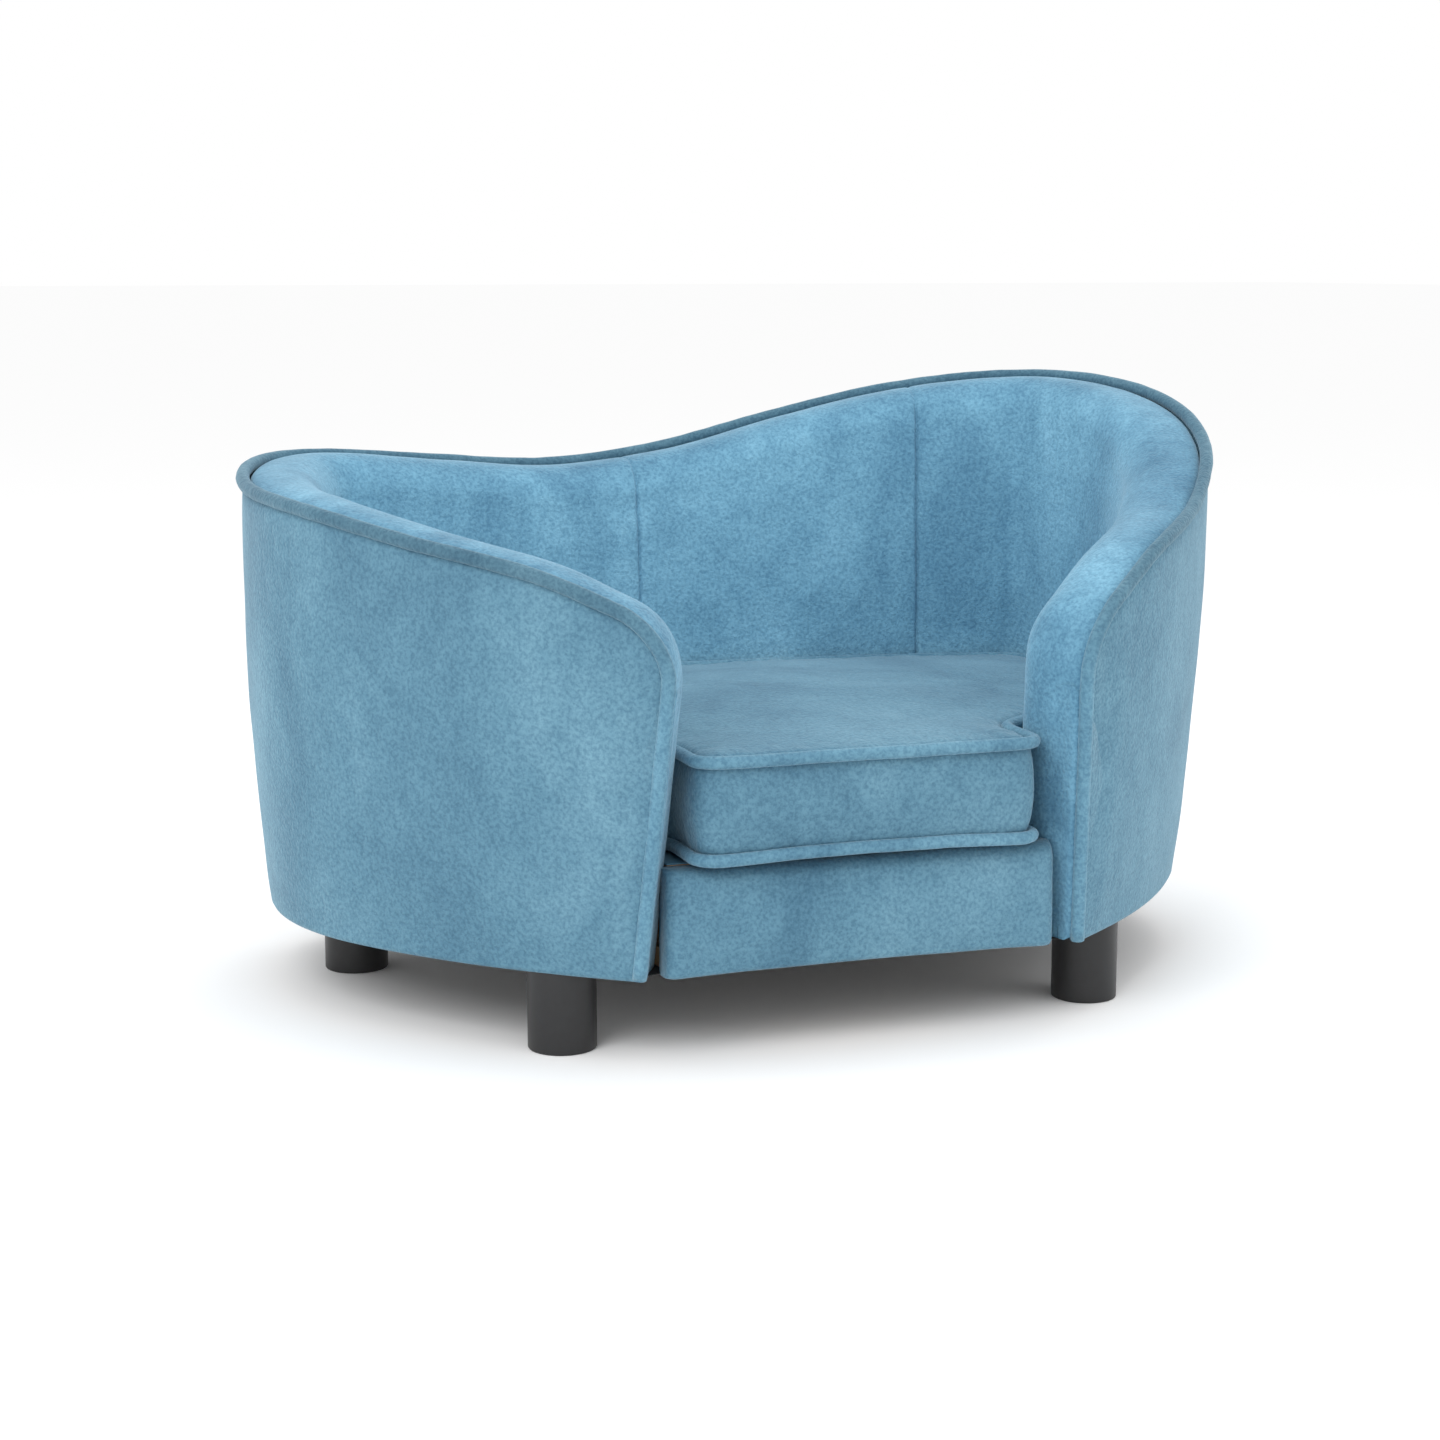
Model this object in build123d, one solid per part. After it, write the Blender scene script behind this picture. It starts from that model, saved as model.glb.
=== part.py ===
from build123d import *
import math
import os

# Driving sizes in millimetres and degrees.
# X runs to the right, Y to the back, Z up. The sofa stands on Z = 0.

# The middle of the whole sofa's depth lies this far behind the middle of its rim line.
origin_back = 5.1

# Rim line of the curved wall, seen from above. It is the right half, and the left mirrors it.
half_width = 339.0
front_radius = 516.0
side_radius = 228.0
corner_radius = 80.0
rim_headings = (32.7, 60.0, 118.0, 163.0, 180.0)

# Height of the rim line at even steps from the left arm's foot round the back to the right arm's.
rim_height = 395.0
rim_height_shares = (
    0.685, 0.760, 0.800, 0.835, 0.853, 0.873, 0.878, 0.861, 0.846, 0.870,
    0.925, 0.975, 1.000, 0.995, 0.957, 0.889, 0.815, 0.762, 0.663,
)

# The wall's outer face leans out towards the top, and the arm fronts rake forward.
base_height = 52.0
front_flare = 31.5
side_flare = 14.0
back_flare = 22.0
front_lean = 28.0
lean_reach = 150.0
lean_top = 265.0

# Rounded bend where the rim turns down into the arm front.
nose_reach = 38.0
nose_drop = 40.0

# Thickness of the wall and its rounded inner corner at the arm front.
wall_thickness = 56.0
end_thickness = 25.0
end_round = 28.0

# Layers of the wall, from outside to inside.
fit_gap = 0.3
cover_thickness = 1.5
cover_puff = 5.0
hem_width = 8.0
panel_depth = 7.0
panel_thickness = 6.0
panel_drop = 14.0
panel_start = 15.0
lining_thickness = 2.0
roll_crown = 6.0
roll_drop = 16.0
seam_clear = 5.7
front_seam_clear = 8.3
wadding_drop = 2.5
cap_depth = 2.7
seam_half_width = 125.0

# Piping round the rim and the cushion.
rim_piping_radius = 4.5
rim_piping_inset = 1.0
cushion_piping_radius = 4.0

# Base of the sofa.
board_thickness = 12.0
seat_board_thickness = 9.0
seat_height = 120.0
deck_cloth_thickness = 1.0
dust_cloth_thickness = 0.5
rail_set_back = 37.91
rail_gap = 0.24
rail_taper = 5.0
rail_foam_thickness = 6.0
rail_board_thickness = 12.0
rail_corner_radius = 8.0
rail_top_radius = 10.0
batten_width = 20.0
batten_leg_room = 67.99
batten_room = 53.5

# Posts that stand on the base board inside the wall.
post_depth = 20.0
post_width = 30.0
arm_post_start = 16.0
post_clear = 1.0
post_head_room = 34.0

# Legs and their fastening.
leg_radius = 21.6
front_leg_run = 92.0
front_leg_inset = 23.7
rear_leg_run = 420.0
rear_leg_inset = 56.4
bolt_radius = 4.0
bolt_clear = 0.1
bolt_in_leg = 26.0
bolt_end_room = 3.0
bolt_over_board = 3.0
nut_barrel_radius = 5.0
nut_barrel_length = 9.0
nut_flange_radius = 9.0
nut_flange_thickness = 1.5
flange_sides = 6
leg_hole_clear = 1.5

# Wood screws that hold the posts to the base board.
screw_radius = 2.0
screw_head_radius = 4.0
screw_head_height = 2.4
screw_length = 36.0

# Loose seat cushion, a box cushion whose front is narrow between the arm fronts.
# Its sides follow the wall's arcs, each with a smaller radius.
cushion_overhang = 14.0
cushion_end_room = 14.0
cushion_side_room = 69.8
cushion_side_shift = 3.29
cushion_front_radius = 20.0
cushion_least_radius = 4.0
cushion_hollow_radius = 20.0
cushion_diagonal_inset = 108.0
cushion_side_inset = 86.2
cushion_rear_inset = 46.0
cushion_headings = (38.3, 58.2, 114.7, 165.8, 180.0)
cushion_seam_rise = 5.7
cushion_boxing_height = 60.0
cushion_crown = 13.0
cushion_side_draw = 8.3
cushion_puff_share = 0.45
cushion_top_inset = 26.0
cushion_cloth = 1.5
cushion_lift_gap = 0.3
cushion_side_steps = 4
cushion_top_steps = 2
cushion_edge_share = 0.65
cushion_dome_share = 0.55
cushion_arc_steps = (5, 3, 2, 5, 3, 4)
piping_sides = 6

# Zip across the back of the cushion.
zip_span = 110.0
zip_tape_height = 14.0
zip_tape_thickness = 0.8
zip_chain_height = 4.0
zip_chain_thickness = 0.9
slider_length = 9.0
slider_height = 7.0
slider_thickness = 1.1
pull_length = 16.0
pull_width = 5.0
pull_thickness = 0.8
zip_end_room = 6.0
zip_run_clear = 0.2

cut_overrun = 5.0
flat_within = 0.000001


def rim_arcs():
    """Arcs of the right half of the rim line: start x and y, start and end heading, radius."""
    turns = [math.radians(a) for a in rim_headings]
    x = half_width - side_radius * (1 - math.sin(turns[1]))
    x -= front_radius * (math.sin(turns[1]) - math.sin(turns[0]))
    y = 0.0
    arcs = []
    radii = [front_radius, side_radius, corner_radius]
    for radius, start, end in zip(radii, turns, turns[1:]):
        arcs.append((x, y, start, end, radius))
        x += radius * (math.sin(end) - math.sin(start))
        y += radius * (math.cos(start) - math.cos(end))
    back_radius = x / math.sin(turns[3])
    arcs.append((x, y, turns[3], turns[4], back_radius))
    depth = y + back_radius * (math.cos(turns[3]) - math.cos(turns[4]))
    return [(x, y - depth / 2, start, end, radius) for x, y, start, end, radius in arcs]


ARCS = rim_arcs()
HALF_LENGTH = sum(radius * (end - start) for x, y, start, end, radius in ARCS)
WALL_LENGTH = 2 * HALF_LENGTH


def rim_line(s):
    """Point and heading of the rim line at s from the arm's foot."""
    for x, y, start, end, radius in ARCS:
        length = radius * (end - start)
        if s <= length or end == ARCS[-1][3]:
            break
        s -= length
    heading = start + s / radius
    px = x + radius * (math.sin(heading) - math.sin(start))
    py = y + radius * (math.cos(start) - math.cos(heading))
    return px, py, heading


def from_front(w):
    """Side of the sofa and distance from that side's arm front at w along the whole wall."""
    if w <= HALF_LENGTH:
        return -1, w
    return 1, WALL_LENGTH - w


def smooth_rim(w):
    """Height of the rim at w before the arm front's bend, a smooth curve through the shares."""
    steps = len(rim_height_shares) - 1
    place = min(max(w / WALL_LENGTH, 0), 1) * steps
    i = min(int(place), steps - 1)
    t = place - i
    shares = rim_height_shares
    a = shares[max(i - 1, 0)]
    b = shares[i]
    c = shares[i + 1]
    d = shares[min(i + 2, steps)]
    curve = (2 * b + (c - a) * t + (2 * a - 5 * b + 4 * c - d) * t**2
             + (3 * b - a - 3 * c + d) * t**3) / 2
    return rim_height * curve


def rim(w, below=0.0):
    """Height of the line that runs `below` under the rim, with the bend at the arm front."""
    side, s = from_front(w)
    reach = nose_reach - below
    ahead = min(max((nose_reach - s) / reach, 0), 1)
    return smooth_rim(w) - nose_drop + (nose_drop - below) * math.sqrt(1 - ahead**2)


def thickness(w):
    """Thickness of the wall at w, less at the arm front, where its inner corner is round."""
    side, s = from_front(w)
    ahead = 1 - min(s, end_round) / end_round
    return end_thickness + (wall_thickness - end_thickness) * math.sqrt(1 - ahead**2)


def flare(s):
    """How far the outer face leans in from the rim's height to the base at s."""
    share = min(max(s / HALF_LENGTH, 0), 1)
    if share < 0.5:
        first, last, t = front_flare, side_flare, 2 * share
    else:
        first, last, t = side_flare, back_flare, 2 * share - 1
    return first + (last - first) * (3 * t**2 - 2 * t**3)


def wall_point(w, inward, z):
    """Point at w along the wall, `inward` from its outer face, at height z."""
    side, s = from_front(w)
    x, y, heading = rim_line(s)
    nx, ny = math.sin(heading), -math.cos(heading)
    tx, ty = math.cos(heading), math.sin(heading)
    back = flare(s) * (rim_height - z) / (rim_height - base_height) + inward
    rake = front_lean * max(0, 1 - s / lean_reach) ** 2
    rake *= (lean_top - z) / (lean_top - base_height)
    return Vector(side * (x - back * nx + rake * tx), y - back * ny + rake * ty, z)


def curve(start, middle, end):
    """Points of a shallow curve from start through middle to end, without the start itself."""
    points = []
    for i in range(1, curve_steps + 1):
        t = i / curve_steps
        a, b, c = (1 - t) * (1 - 2 * t), 4 * t * (1 - t), t * (2 * t - 1)
        points.append(tuple(a * p + b * q + c * r for p, q, r in zip(start, middle, end)))
    return points


def section(w, corners):
    """Ring of points at w. A corner is (inward, z), or a middle point and a corner for a curve."""
    line = []
    for corner in corners:
        if isinstance(corner[0], tuple):
            line += curve(line[-1], *corner)
        else:
            line.append(corner)
    return [wall_point(w, *point) for point in line]


def flat_face(*corners):
    return Face(Wire.make_polygon(corners, close=True))


def patch(a, b, c, d):
    """Flat face through four corners, or two triangles that meet in the outer diagonal."""
    lift = (b - a).cross(c - a).normalized().dot(d - a)
    if abs(lift) < flat_within:
        return [flat_face(a, b, c, d)]
    if (a + c).length > (b + d).length:
        return [flat_face(a, b, c), flat_face(a, c, d)]
    return [flat_face(a, b, d), flat_face(b, c, d)]


def skin(rings, closed=False):
    """Solid of flat faces through rings of equally many points, a loop or capped at its ends."""
    faces = []
    following = rings[1:] + rings[:1] if closed else rings[1:]
    for near, far in zip(rings, following):
        for i in range(len(near)):
            faces += patch(near[i - 1], near[i], far[i], far[i - 1])
    if not closed:
        faces += [flat_face(*rings[0]), flat_face(*rings[-1])]
    return Solid(Shell(faces))


def shared_places():
    """Places along one half of the wall where every layer has a section."""
    along = [cap_depth + fit_gap] + [nose_reach * share for share in nose_shares]
    start = nose_reach
    foot = 0.0
    for (x, y, first, last, radius), steps in zip(ARCS, arc_steps):
        foot += radius * (last - first)
        end = min(foot, seam_at)
        along += [start + (end - start) * i / steps for i in range(steps)]
        start = end
    return along + [seam_at]


def side_places(start, side):
    """Places from start to the seam on one side."""
    along = [start] + [s for s in SHARED if s > start + fit_gap / 2]
    if side < 0:
        return along
    return [WALL_LENGTH - s for s in along]


def back_places(start):
    """Places across the back, from one seam to the other."""
    span = HALF_LENGTH - start
    return [start + span * i / back_steps for i in range(2 * back_steps + 1)]


def wall_skin(along, corners_at):
    """Solid through the sections that corners_at gives at the places along the wall."""
    return skin([section(w, corners_at(w)) for w in along])


nose_shares = (0.26, 0.58)
arc_steps = (3, 5, 3, 2)
curve_steps = 4
back_steps = 3
piping_upright_steps = 4
piping_nose_shares = (0.0, 0.02, 0.07, 0.16, 0.3, 0.5, 0.75, 1.0)
seam_at = HALF_LENGTH - ARCS[-1][4] * math.asin(seam_half_width / ARCS[-1][4])
SHARED = shared_places()
INNER_FACE = panel_depth + panel_thickness + fit_gap
BASE_UNDER = base_height + cover_thickness + fit_gap
BASE_TOP = BASE_UNDER + board_thickness
FLOOR_TOP = seat_height + deck_cloth_thickness


def outer_cover_corners(w):
    top = rim(w, seam_clear)
    middle = (base_height + top) / 2
    inner = cover_thickness
    return [
        (0.0, base_height),
        ((-cover_puff, middle), (0.0, top)),
        (inner, top),
        ((inner - cover_puff, middle), (inner, base_height + inner)),
        (hem_width, base_height + inner),
        (hem_width, base_height),
    ]


def wadding_corners(w):
    top = rim(w, seam_clear + wadding_drop)
    middle = (base_height + rim(w, seam_clear)) / 2
    outer = cover_thickness + fit_gap
    inner = panel_depth - fit_gap
    return [
        (outer, BASE_UNDER),
        ((outer - cover_puff, middle), (outer, top)),
        (inner, top),
        (inner, BASE_UNDER),
    ]


def panel_corners(w):
    top = rim(w, panel_drop)
    inner = panel_depth + panel_thickness
    return [(panel_depth, BASE_UNDER), (panel_depth, top), (inner, top),
            (inner, seat_height), (inner, BASE_UNDER)]


def roll(w, below):
    """Top roll of the wall, `below` under its surface: start, middle and end of the arc."""
    top = rim(w, below)
    full = thickness(w)
    share = full / wall_thickness
    start = rim_piping_inset + seam_clear
    middle = (start + full) / 2
    end = full - below
    return (start + below, top), (middle, top + roll_crown * share), (end, top - roll_drop * share)


def lining_corners(w):
    start, middle, end = roll(w, 0.0)
    in_start, in_middle, in_end = roll(w, lining_thickness)
    foot = FLOOR_TOP + fit_gap
    full = thickness(w)
    return [
        start,
        (middle, end),
        (full, foot),
        (full - lining_thickness, foot),
        in_end,
        (in_middle, in_start),
    ]


def foam_corners(w):
    below = lining_thickness + fit_gap
    start, middle, end = roll(w, below)
    shelf = rim(w, panel_drop) + fit_gap
    foot = seat_height + fit_gap
    full = thickness(w) - below
    return [
        (INNER_FACE, foot),
        (INNER_FACE, shelf),
        (panel_depth, shelf),
        start,
        (middle, end),
        (full, foot),
    ]


def cap_corners(w):
    start, middle, end = roll(w, 0.0)
    return [
        (start[0], base_height),
        start,
        (middle, end),
        (thickness(w), base_height),
    ]


def side_part(side, start, corners_at):
    return wall_skin(side_places(start, side), corners_at)


def back_part(corners_at):
    return wall_skin(back_places(seam_at + fit_gap), corners_at)


def arm_lining(side):
    """Inner cover of one side: lining of the wall, and the cap on the arm front."""
    lining = side_part(side, cap_depth, lining_corners)
    ends = (0.0, cap_depth / 2, cap_depth)
    cap = wall_skin([s if side < 0 else WALL_LENGTH - s for s in ends], cap_corners)
    return lining + cap


def post(side, start, width, clear, overrun=0.0):
    """Upright post behind the wall panel, from the base board to the head room under the rim."""
    ends = (start - clear, start + width + clear)
    places_here = [s if side < 0 else WALL_LENGTH - s for s in ends]
    standing = [s if side < 0 else WALL_LENGTH - s for s in (start, start + width)]
    outer = INNER_FACE + post_clear - clear - overrun
    inner = outer + overrun + post_depth + 2 * clear
    bottom = BASE_TOP - clear
    top = min(rim(w, panel_drop) for w in standing) - post_head_room + clear
    rings = []
    for z in (bottom, top):
        a, b = places_here
        ring = [wall_point(a, outer, z), wall_point(b, outer, z)]
        rings.append(ring + [wall_point(b, inner, z), wall_point(a, inner, z)])
    return skin(rings)


def base_plate(inward, z, thick, front):
    """Board inside the wall panels: straight at the front, curved round the sides and back."""
    start = cap_depth + 2 * fit_gap
    half = side_places(start, -1)[:-1] + back_places(seam_at)[:back_steps]
    round_wall = half + [HALF_LENGTH] + [WALL_LENGTH - w for w in reversed(half)]
    outer = [wall_point(w, inward, z) for w in round_wall]
    edges = []
    for a, b in zip(outer, outer[1:]):
        edges.append(Edge.make_line(a, b))
    left_in = wall_point(start, thickness(start) + fit_gap, z)
    right_in = wall_point(WALL_LENGTH - start, thickness(start) + fit_gap, z)
    right_front = Vector(RAIL_HALF_BACK - fit_gap, -front, z)
    left_front = Vector(fit_gap - RAIL_HALF_BACK, -front, z)
    line = [outer[-1], right_in, right_front, left_front, left_in, outer[0]]
    for a, b in zip(line, line[1:]):
        edges.append(Edge.make_line(a, b))
    face = Face(Wire(edges))
    return extrude(face, amount=thick, dir=(0, 0, 1))


def leg_places():
    """Plan places of the legs, each `run` along the wall and `inset` under it."""
    spots = {}
    for row, run, inset in (("front", front_leg_run, front_leg_inset),
                            ("rear", rear_leg_run, rear_leg_inset)):
        for side, w in (("left", run), ("right", WALL_LENGTH - run)):
            place = wall_point(w, inset, base_height)
            spots[row + "_" + side + "_leg"] = (place.X, place.Y)
    return spots


def upright(radius, bottom, height, place):
    return Pos(place[0], place[1], bottom) * Cylinder(
        radius, height, align=(Align.CENTER, Align.CENTER, Align.MIN)
    )


def leg(place):
    body = upright(leg_radius, 0.0, BASE_UNDER, place)
    bore = bolt_radius + bolt_clear
    depth = bolt_in_leg + bolt_end_room
    return body - upright(bore, BASE_UNDER - depth, depth + cut_overrun, place)


def hanger_bolt(place):
    length = bolt_in_leg + board_thickness + bolt_over_board
    return upright(bolt_radius, BASE_UNDER - bolt_in_leg, length, place)


def tee_nut(place):
    """Barrel nut with a six-sided flange that rests on the base board."""
    barrel = upright(nut_barrel_radius, BASE_TOP - nut_barrel_length, nut_barrel_length, place)
    flange = Pos(place[0], place[1], BASE_TOP) * extrude(
        RegularPolygon(nut_flange_radius, flange_sides), amount=nut_flange_thickness)
    bore = bolt_radius + bolt_clear
    cut = upright(bore, BASE_TOP - nut_barrel_length - cut_overrun,
                  nut_barrel_length + nut_flange_thickness + 2 * cut_overrun, place)
    return barrel + flange - cut


def screw(place):
    """Countersunk wood screw driven up through the base board."""
    head = Pos(place[0], place[1], BASE_UNDER) * Cone(
        screw_head_radius, screw_radius, screw_head_height,
        align=(Align.CENTER, Align.CENTER, Align.MIN),
    )
    return head + upright(screw_radius, BASE_UNDER, screw_length, place)


def screw_hole(place, clear):
    head = Pos(place[0], place[1], BASE_UNDER) * Cone(
        screw_head_radius + clear, screw_radius + clear, screw_head_height,
        align=(Align.CENTER, Align.CENTER, Align.MIN),
    )
    shank = upright(screw_radius + clear, BASE_UNDER, screw_length + clear, place)
    return head + shank


def screw_places():
    """Middle of each post's foot."""
    spots = []
    for side, start in POSTS.values():
        middle = start + post_width / 2
        w = middle if side < 0 else WALL_LENGTH - middle
        centre = wall_point(w, INNER_FACE + post_clear + post_depth / 2, BASE_TOP)
        spots.append((centre.X, centre.Y))
    return spots


ARM_FOOT = wall_point(WALL_LENGTH, end_thickness, seat_height)
RAIL_HALF_FRONT = ARM_FOOT.X - rail_gap
RAIL_HALF_BACK = RAIL_HALF_FRONT - rail_taper
RAIL_FRONT = -ARCS[0][1] - rail_set_back
RAIL_BACK = RAIL_FRONT - cover_thickness - rail_foam_thickness - rail_board_thickness
RAIL_BACK -= 2 * fit_gap
POSTS = {
    "left_arm_post": (-1, arm_post_start),
    "right_arm_post": (1, arm_post_start),
    "left_back_post": (-1, seam_at - post_width / 2),
    "right_back_post": (1, seam_at - post_width / 2),
}


def rail_block(inset, back):
    """Rounded block of the front rail, its front and ends `inset` under the cover's surface."""
    front = RAIL_FRONT - inset
    half_front = RAIL_HALF_FRONT - inset
    half_back = RAIL_HALF_BACK - inset
    corners = [(-half_front, -front), (half_front, -front), (half_back, -back), (-half_back, -back)]
    outline = Polyline(*corners, close=True)
    bottom = base_height + inset
    height = seat_height - inset - bottom
    block = Pos(0, 0, bottom) * extrude(make_face(outline), amount=height)
    uprights = block.edges().filter_by(Axis.Z).group_by(Axis.Y)[0]
    block = fillet(uprights, rail_corner_radius - inset)
    top_front = block.edges().group_by(Axis.Z)[-1].filter_by(Axis.X).group_by(Axis.Y)[0]
    return fillet(top_front, rail_top_radius - inset)


CUSHION_FRONT = RAIL_FRONT + cushion_overhang
CUSHION_BOTTOM = FLOOR_TOP + cushion_lift_gap
CUSHION_LOW = CUSHION_BOTTOM + cushion_seam_rise
CUSHION_HIGH = CUSHION_LOW + cushion_boxing_height
CUSHION_SIDE_RADIUS = side_radius - cushion_side_inset
CUSHION_SIDE_CENTRE = ARCS[1][1] + side_radius * math.cos(ARCS[1][2]) + cushion_side_shift


def cushion_arcs(inset):
    """Right half of the cushion's plan as (length or radius, end heading) runs from the front."""
    turns = [math.radians(a) for a in cushion_headings]
    ear, front_turn, side_turn, corner_turn, last = turns
    half = RAIL_HALF_FRONT - cushion_end_room - inset
    corner = max(cushion_front_radius - inset, cushion_least_radius)
    side = CUSHION_SIDE_RADIUS - inset
    diagonal = front_radius - cushion_diagonal_inset - inset
    rear = corner_radius - cushion_rear_inset - inset
    hollow = cushion_hollow_radius + inset
    x_side = half_width - cushion_side_room - CUSHION_SIDE_RADIUS
    y_side = CUSHION_SIDE_CENTRE
    x = x_side + side * math.sin(front_turn) - diagonal * (math.sin(front_turn) - math.sin(ear))
    x_hollow = half + hollow * (1 - math.sin(ear))
    y = y_side - side * math.cos(front_turn)
    y -= diagonal * (math.cos(ear) - math.cos(front_turn))
    run = (x - x_hollow) / math.cos(ear)
    neck = y - run * math.sin(ear) - hollow * math.cos(ear)
    front = -(CUSHION_FRONT - inset)
    return [
        ("line", half - corner),
        ("arc", corner, math.pi / 2),
        ("line", neck - front - corner),
        ("arc", -hollow, ear),
        ("line", run),
        ("arc", diagonal, front_turn),
        ("arc", side, side_turn),
        ("arc", rear, corner_turn),
        ("arc", None, last),
    ]


def cushion_outline(inset, z, share=1.0):
    """Closed plan of the cushion, `inset` inside its widest outline and scaled, at height z."""
    right = half_outline(inset)
    left = [(-x, y) for x, y in reversed(right[1:-1])]
    return [Vector(share * x, share * y, z) for x, y in right + left]


def half_outline(inset):
    """Points of the plan's right half, from the middle of the front to the middle of the back."""
    x, y, heading = 0.0, inset - CUSHION_FRONT, 0.0
    points = [(x, y)]
    steps = list(cushion_arc_steps)
    for kind, size, *turn in cushion_arcs(inset):
        if kind == "line":
            x += size * math.cos(heading)
            y += size * math.sin(heading)
            points.append((x, y))
            continue
        radius = x / math.sin(heading) if size is None else size
        count = steps.pop(0)
        for i in range(1, count + 1):
            now = heading + (turn[0] - heading) * i / count
            points.append((x + radius * (math.sin(now) - math.sin(heading)),
                           y + radius * (math.cos(heading) - math.cos(now))))
        x, y = points[-1]
        heading = turn[0]
    return points


def cushion_levels(skin):
    """Heights and insets of the cushion's sections, `skin` under its surface."""
    draw = cushion_side_draw
    levels = [(CUSHION_BOTTOM + skin, 2 * draw + skin)]
    for i in range(cushion_side_steps + 1):
        share = i / cushion_side_steps
        puff = (1 - cushion_puff_share) * 4 * share * (1 - share)
        levels.append((CUSHION_LOW + cushion_boxing_height * share, draw * (1 - puff) + skin))
    for i in range(1, cushion_top_steps + 1):
        turn = math.pi / 2 * i / cushion_top_steps
        inset = draw + (cushion_top_inset - draw) * (1 - math.cos(turn))
        rise = cushion_crown * cushion_edge_share * math.sin(turn)
        levels.append((CUSHION_HIGH + rise - skin, inset + skin))
    return levels


def crowned(levels):
    """Solid through the levels, closed by a low dome."""
    sections = [cushion_outline(inset, z) for z, inset in levels]
    top, inset = levels[-1]
    rise = cushion_crown * (1 - cushion_edge_share) * (1 - cushion_dome_share**2)
    sections.append(cushion_outline(inset, top + rise, cushion_dome_share))
    return skin(sections)


def cushion_solid(skin):
    """Crowned box cushion whose sides draw in at the piping."""
    return crowned(cushion_levels(skin))


def cushion_core():
    """Straight-sided foam block with a crowned top."""
    levels = cushion_levels(cushion_cloth + fit_gap)
    return crowned([levels[0], levels[1], levels[1 + cushion_side_steps], levels[-1]])


def ring(point, along, outward, radius):
    """Many-sided ring round a point of a piping, square to its run."""
    along = along.normalized()
    side = (outward - along * outward.dot(along)).normalized()
    up = along.cross(side)
    corners = []
    for i in range(piping_sides):
        turn = 2 * math.pi * (i + 0.5) / piping_sides
        corners.append(point + (side * math.cos(turn) + up * math.sin(turn)) * radius)
    return corners


def cushion_piping(z):
    """Piping sewn into the cushion's edge at height z."""
    points = cushion_outline(cushion_piping_radius, z)
    rings = []
    for before, point, after in zip(points[-1:] + points, points, points[1:] + points[:1]):
        along = after - before
        rings.append(ring(point, along, Vector(along.Y, -along.X, 0), cushion_piping_radius))
    return skin(rings, closed=True)


def arc_strip(inner, outer, half_span, bottom, height, centre_span=0.0):
    """Upright curved strip across the back, between two radii about the back's centre."""
    middle = math.pi / 2 + centre_span
    turn = half_span / inner
    corners = []
    for radius, angle in ((inner, -turn), (inner, 0), (inner, turn),
                          (outer, turn), (outer, 0), (outer, -turn)):
        corners.append(Vector(radius * math.cos(middle + angle),
                              BACK_CENTRE + radius * math.sin(middle + angle), bottom))
    face = Face(Wire([
        Edge.make_three_point_arc(corners[0], corners[1], corners[2]),
        Edge.make_line(corners[2], corners[3]),
        Edge.make_three_point_arc(corners[3], corners[4], corners[5]),
        Edge.make_line(corners[5], corners[0]),
    ]))
    return extrude(face, amount=height, dir=(0, 0, 1))


def cushion_back():
    """Centre and radius of the cushion's back arc, at its widest outline."""
    runs = cushion_arcs(0.0)
    x, y, heading = 0.0, -CUSHION_FRONT, 0.0
    for kind, size, *turn in runs:
        if kind == "line":
            x += size * math.cos(heading)
            y += size * math.sin(heading)
        elif size is not None:
            x += size * (math.sin(turn[0]) - math.sin(heading))
            y += size * (math.cos(heading) - math.cos(turn[0]))
            heading = turn[0]
    radius = x / math.sin(heading)
    return y + radius * math.cos(heading), radius


BACK_CENTRE, BACK_RADIUS = cushion_back()
ZIP_MIDDLE = (CUSHION_LOW + CUSHION_HIGH) / 2
ZIP_INNER = BACK_RADIUS - cushion_side_draw * cushion_puff_share + fit_gap
ZIP_TAPE = ZIP_INNER + zip_tape_thickness
ZIP_CHAIN = ZIP_TAPE + zip_chain_thickness


def cushion_zip():
    tape = arc_strip(ZIP_INNER, ZIP_TAPE, zip_span, ZIP_MIDDLE - zip_tape_height / 2, zip_tape_height)
    chain = arc_strip(ZIP_TAPE, ZIP_CHAIN, zip_span - zip_end_room,
                      ZIP_MIDDLE - zip_chain_height / 2, zip_chain_height)
    return tape + chain


def zip_slider():
    """Slider that straddles the zip's chain, with its pull hanging from it."""
    place = (zip_span - zip_end_room - slider_length) / ZIP_INNER
    roof = ZIP_CHAIN + slider_thickness
    low = ZIP_MIDDLE - slider_height / 2
    body = arc_strip(ZIP_TAPE + zip_run_clear, roof, slider_length / 2, low, slider_height, place)
    slot = zip_chain_height + 2 * zip_run_clear
    body -= arc_strip(ZIP_TAPE, ZIP_CHAIN + zip_run_clear, slider_length,
                      ZIP_MIDDLE - slot / 2, slot, place)
    pull = arc_strip(roof, roof + pull_thickness, pull_width / 2,
                     ZIP_MIDDLE - pull_length, pull_length, place)
    return body + pull


def rail_cover():
    cover = rail_block(0.0, RAIL_BACK)
    return cover - rail_block(cover_thickness, RAIL_BACK - cut_overrun)


def rail_board():
    """Board behind the rail's foam."""
    inset = cover_thickness + rail_foam_thickness + 2 * fit_gap
    half = RAIL_HALF_BACK - inset
    bottom = BASE_UNDER
    height = seat_height - inset - bottom
    return Pos(0, -RAIL_BACK, bottom) * Box(
        2 * half, rail_board_thickness, height, align=(Align.CENTER, Align.MAX, Align.MIN))


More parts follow.
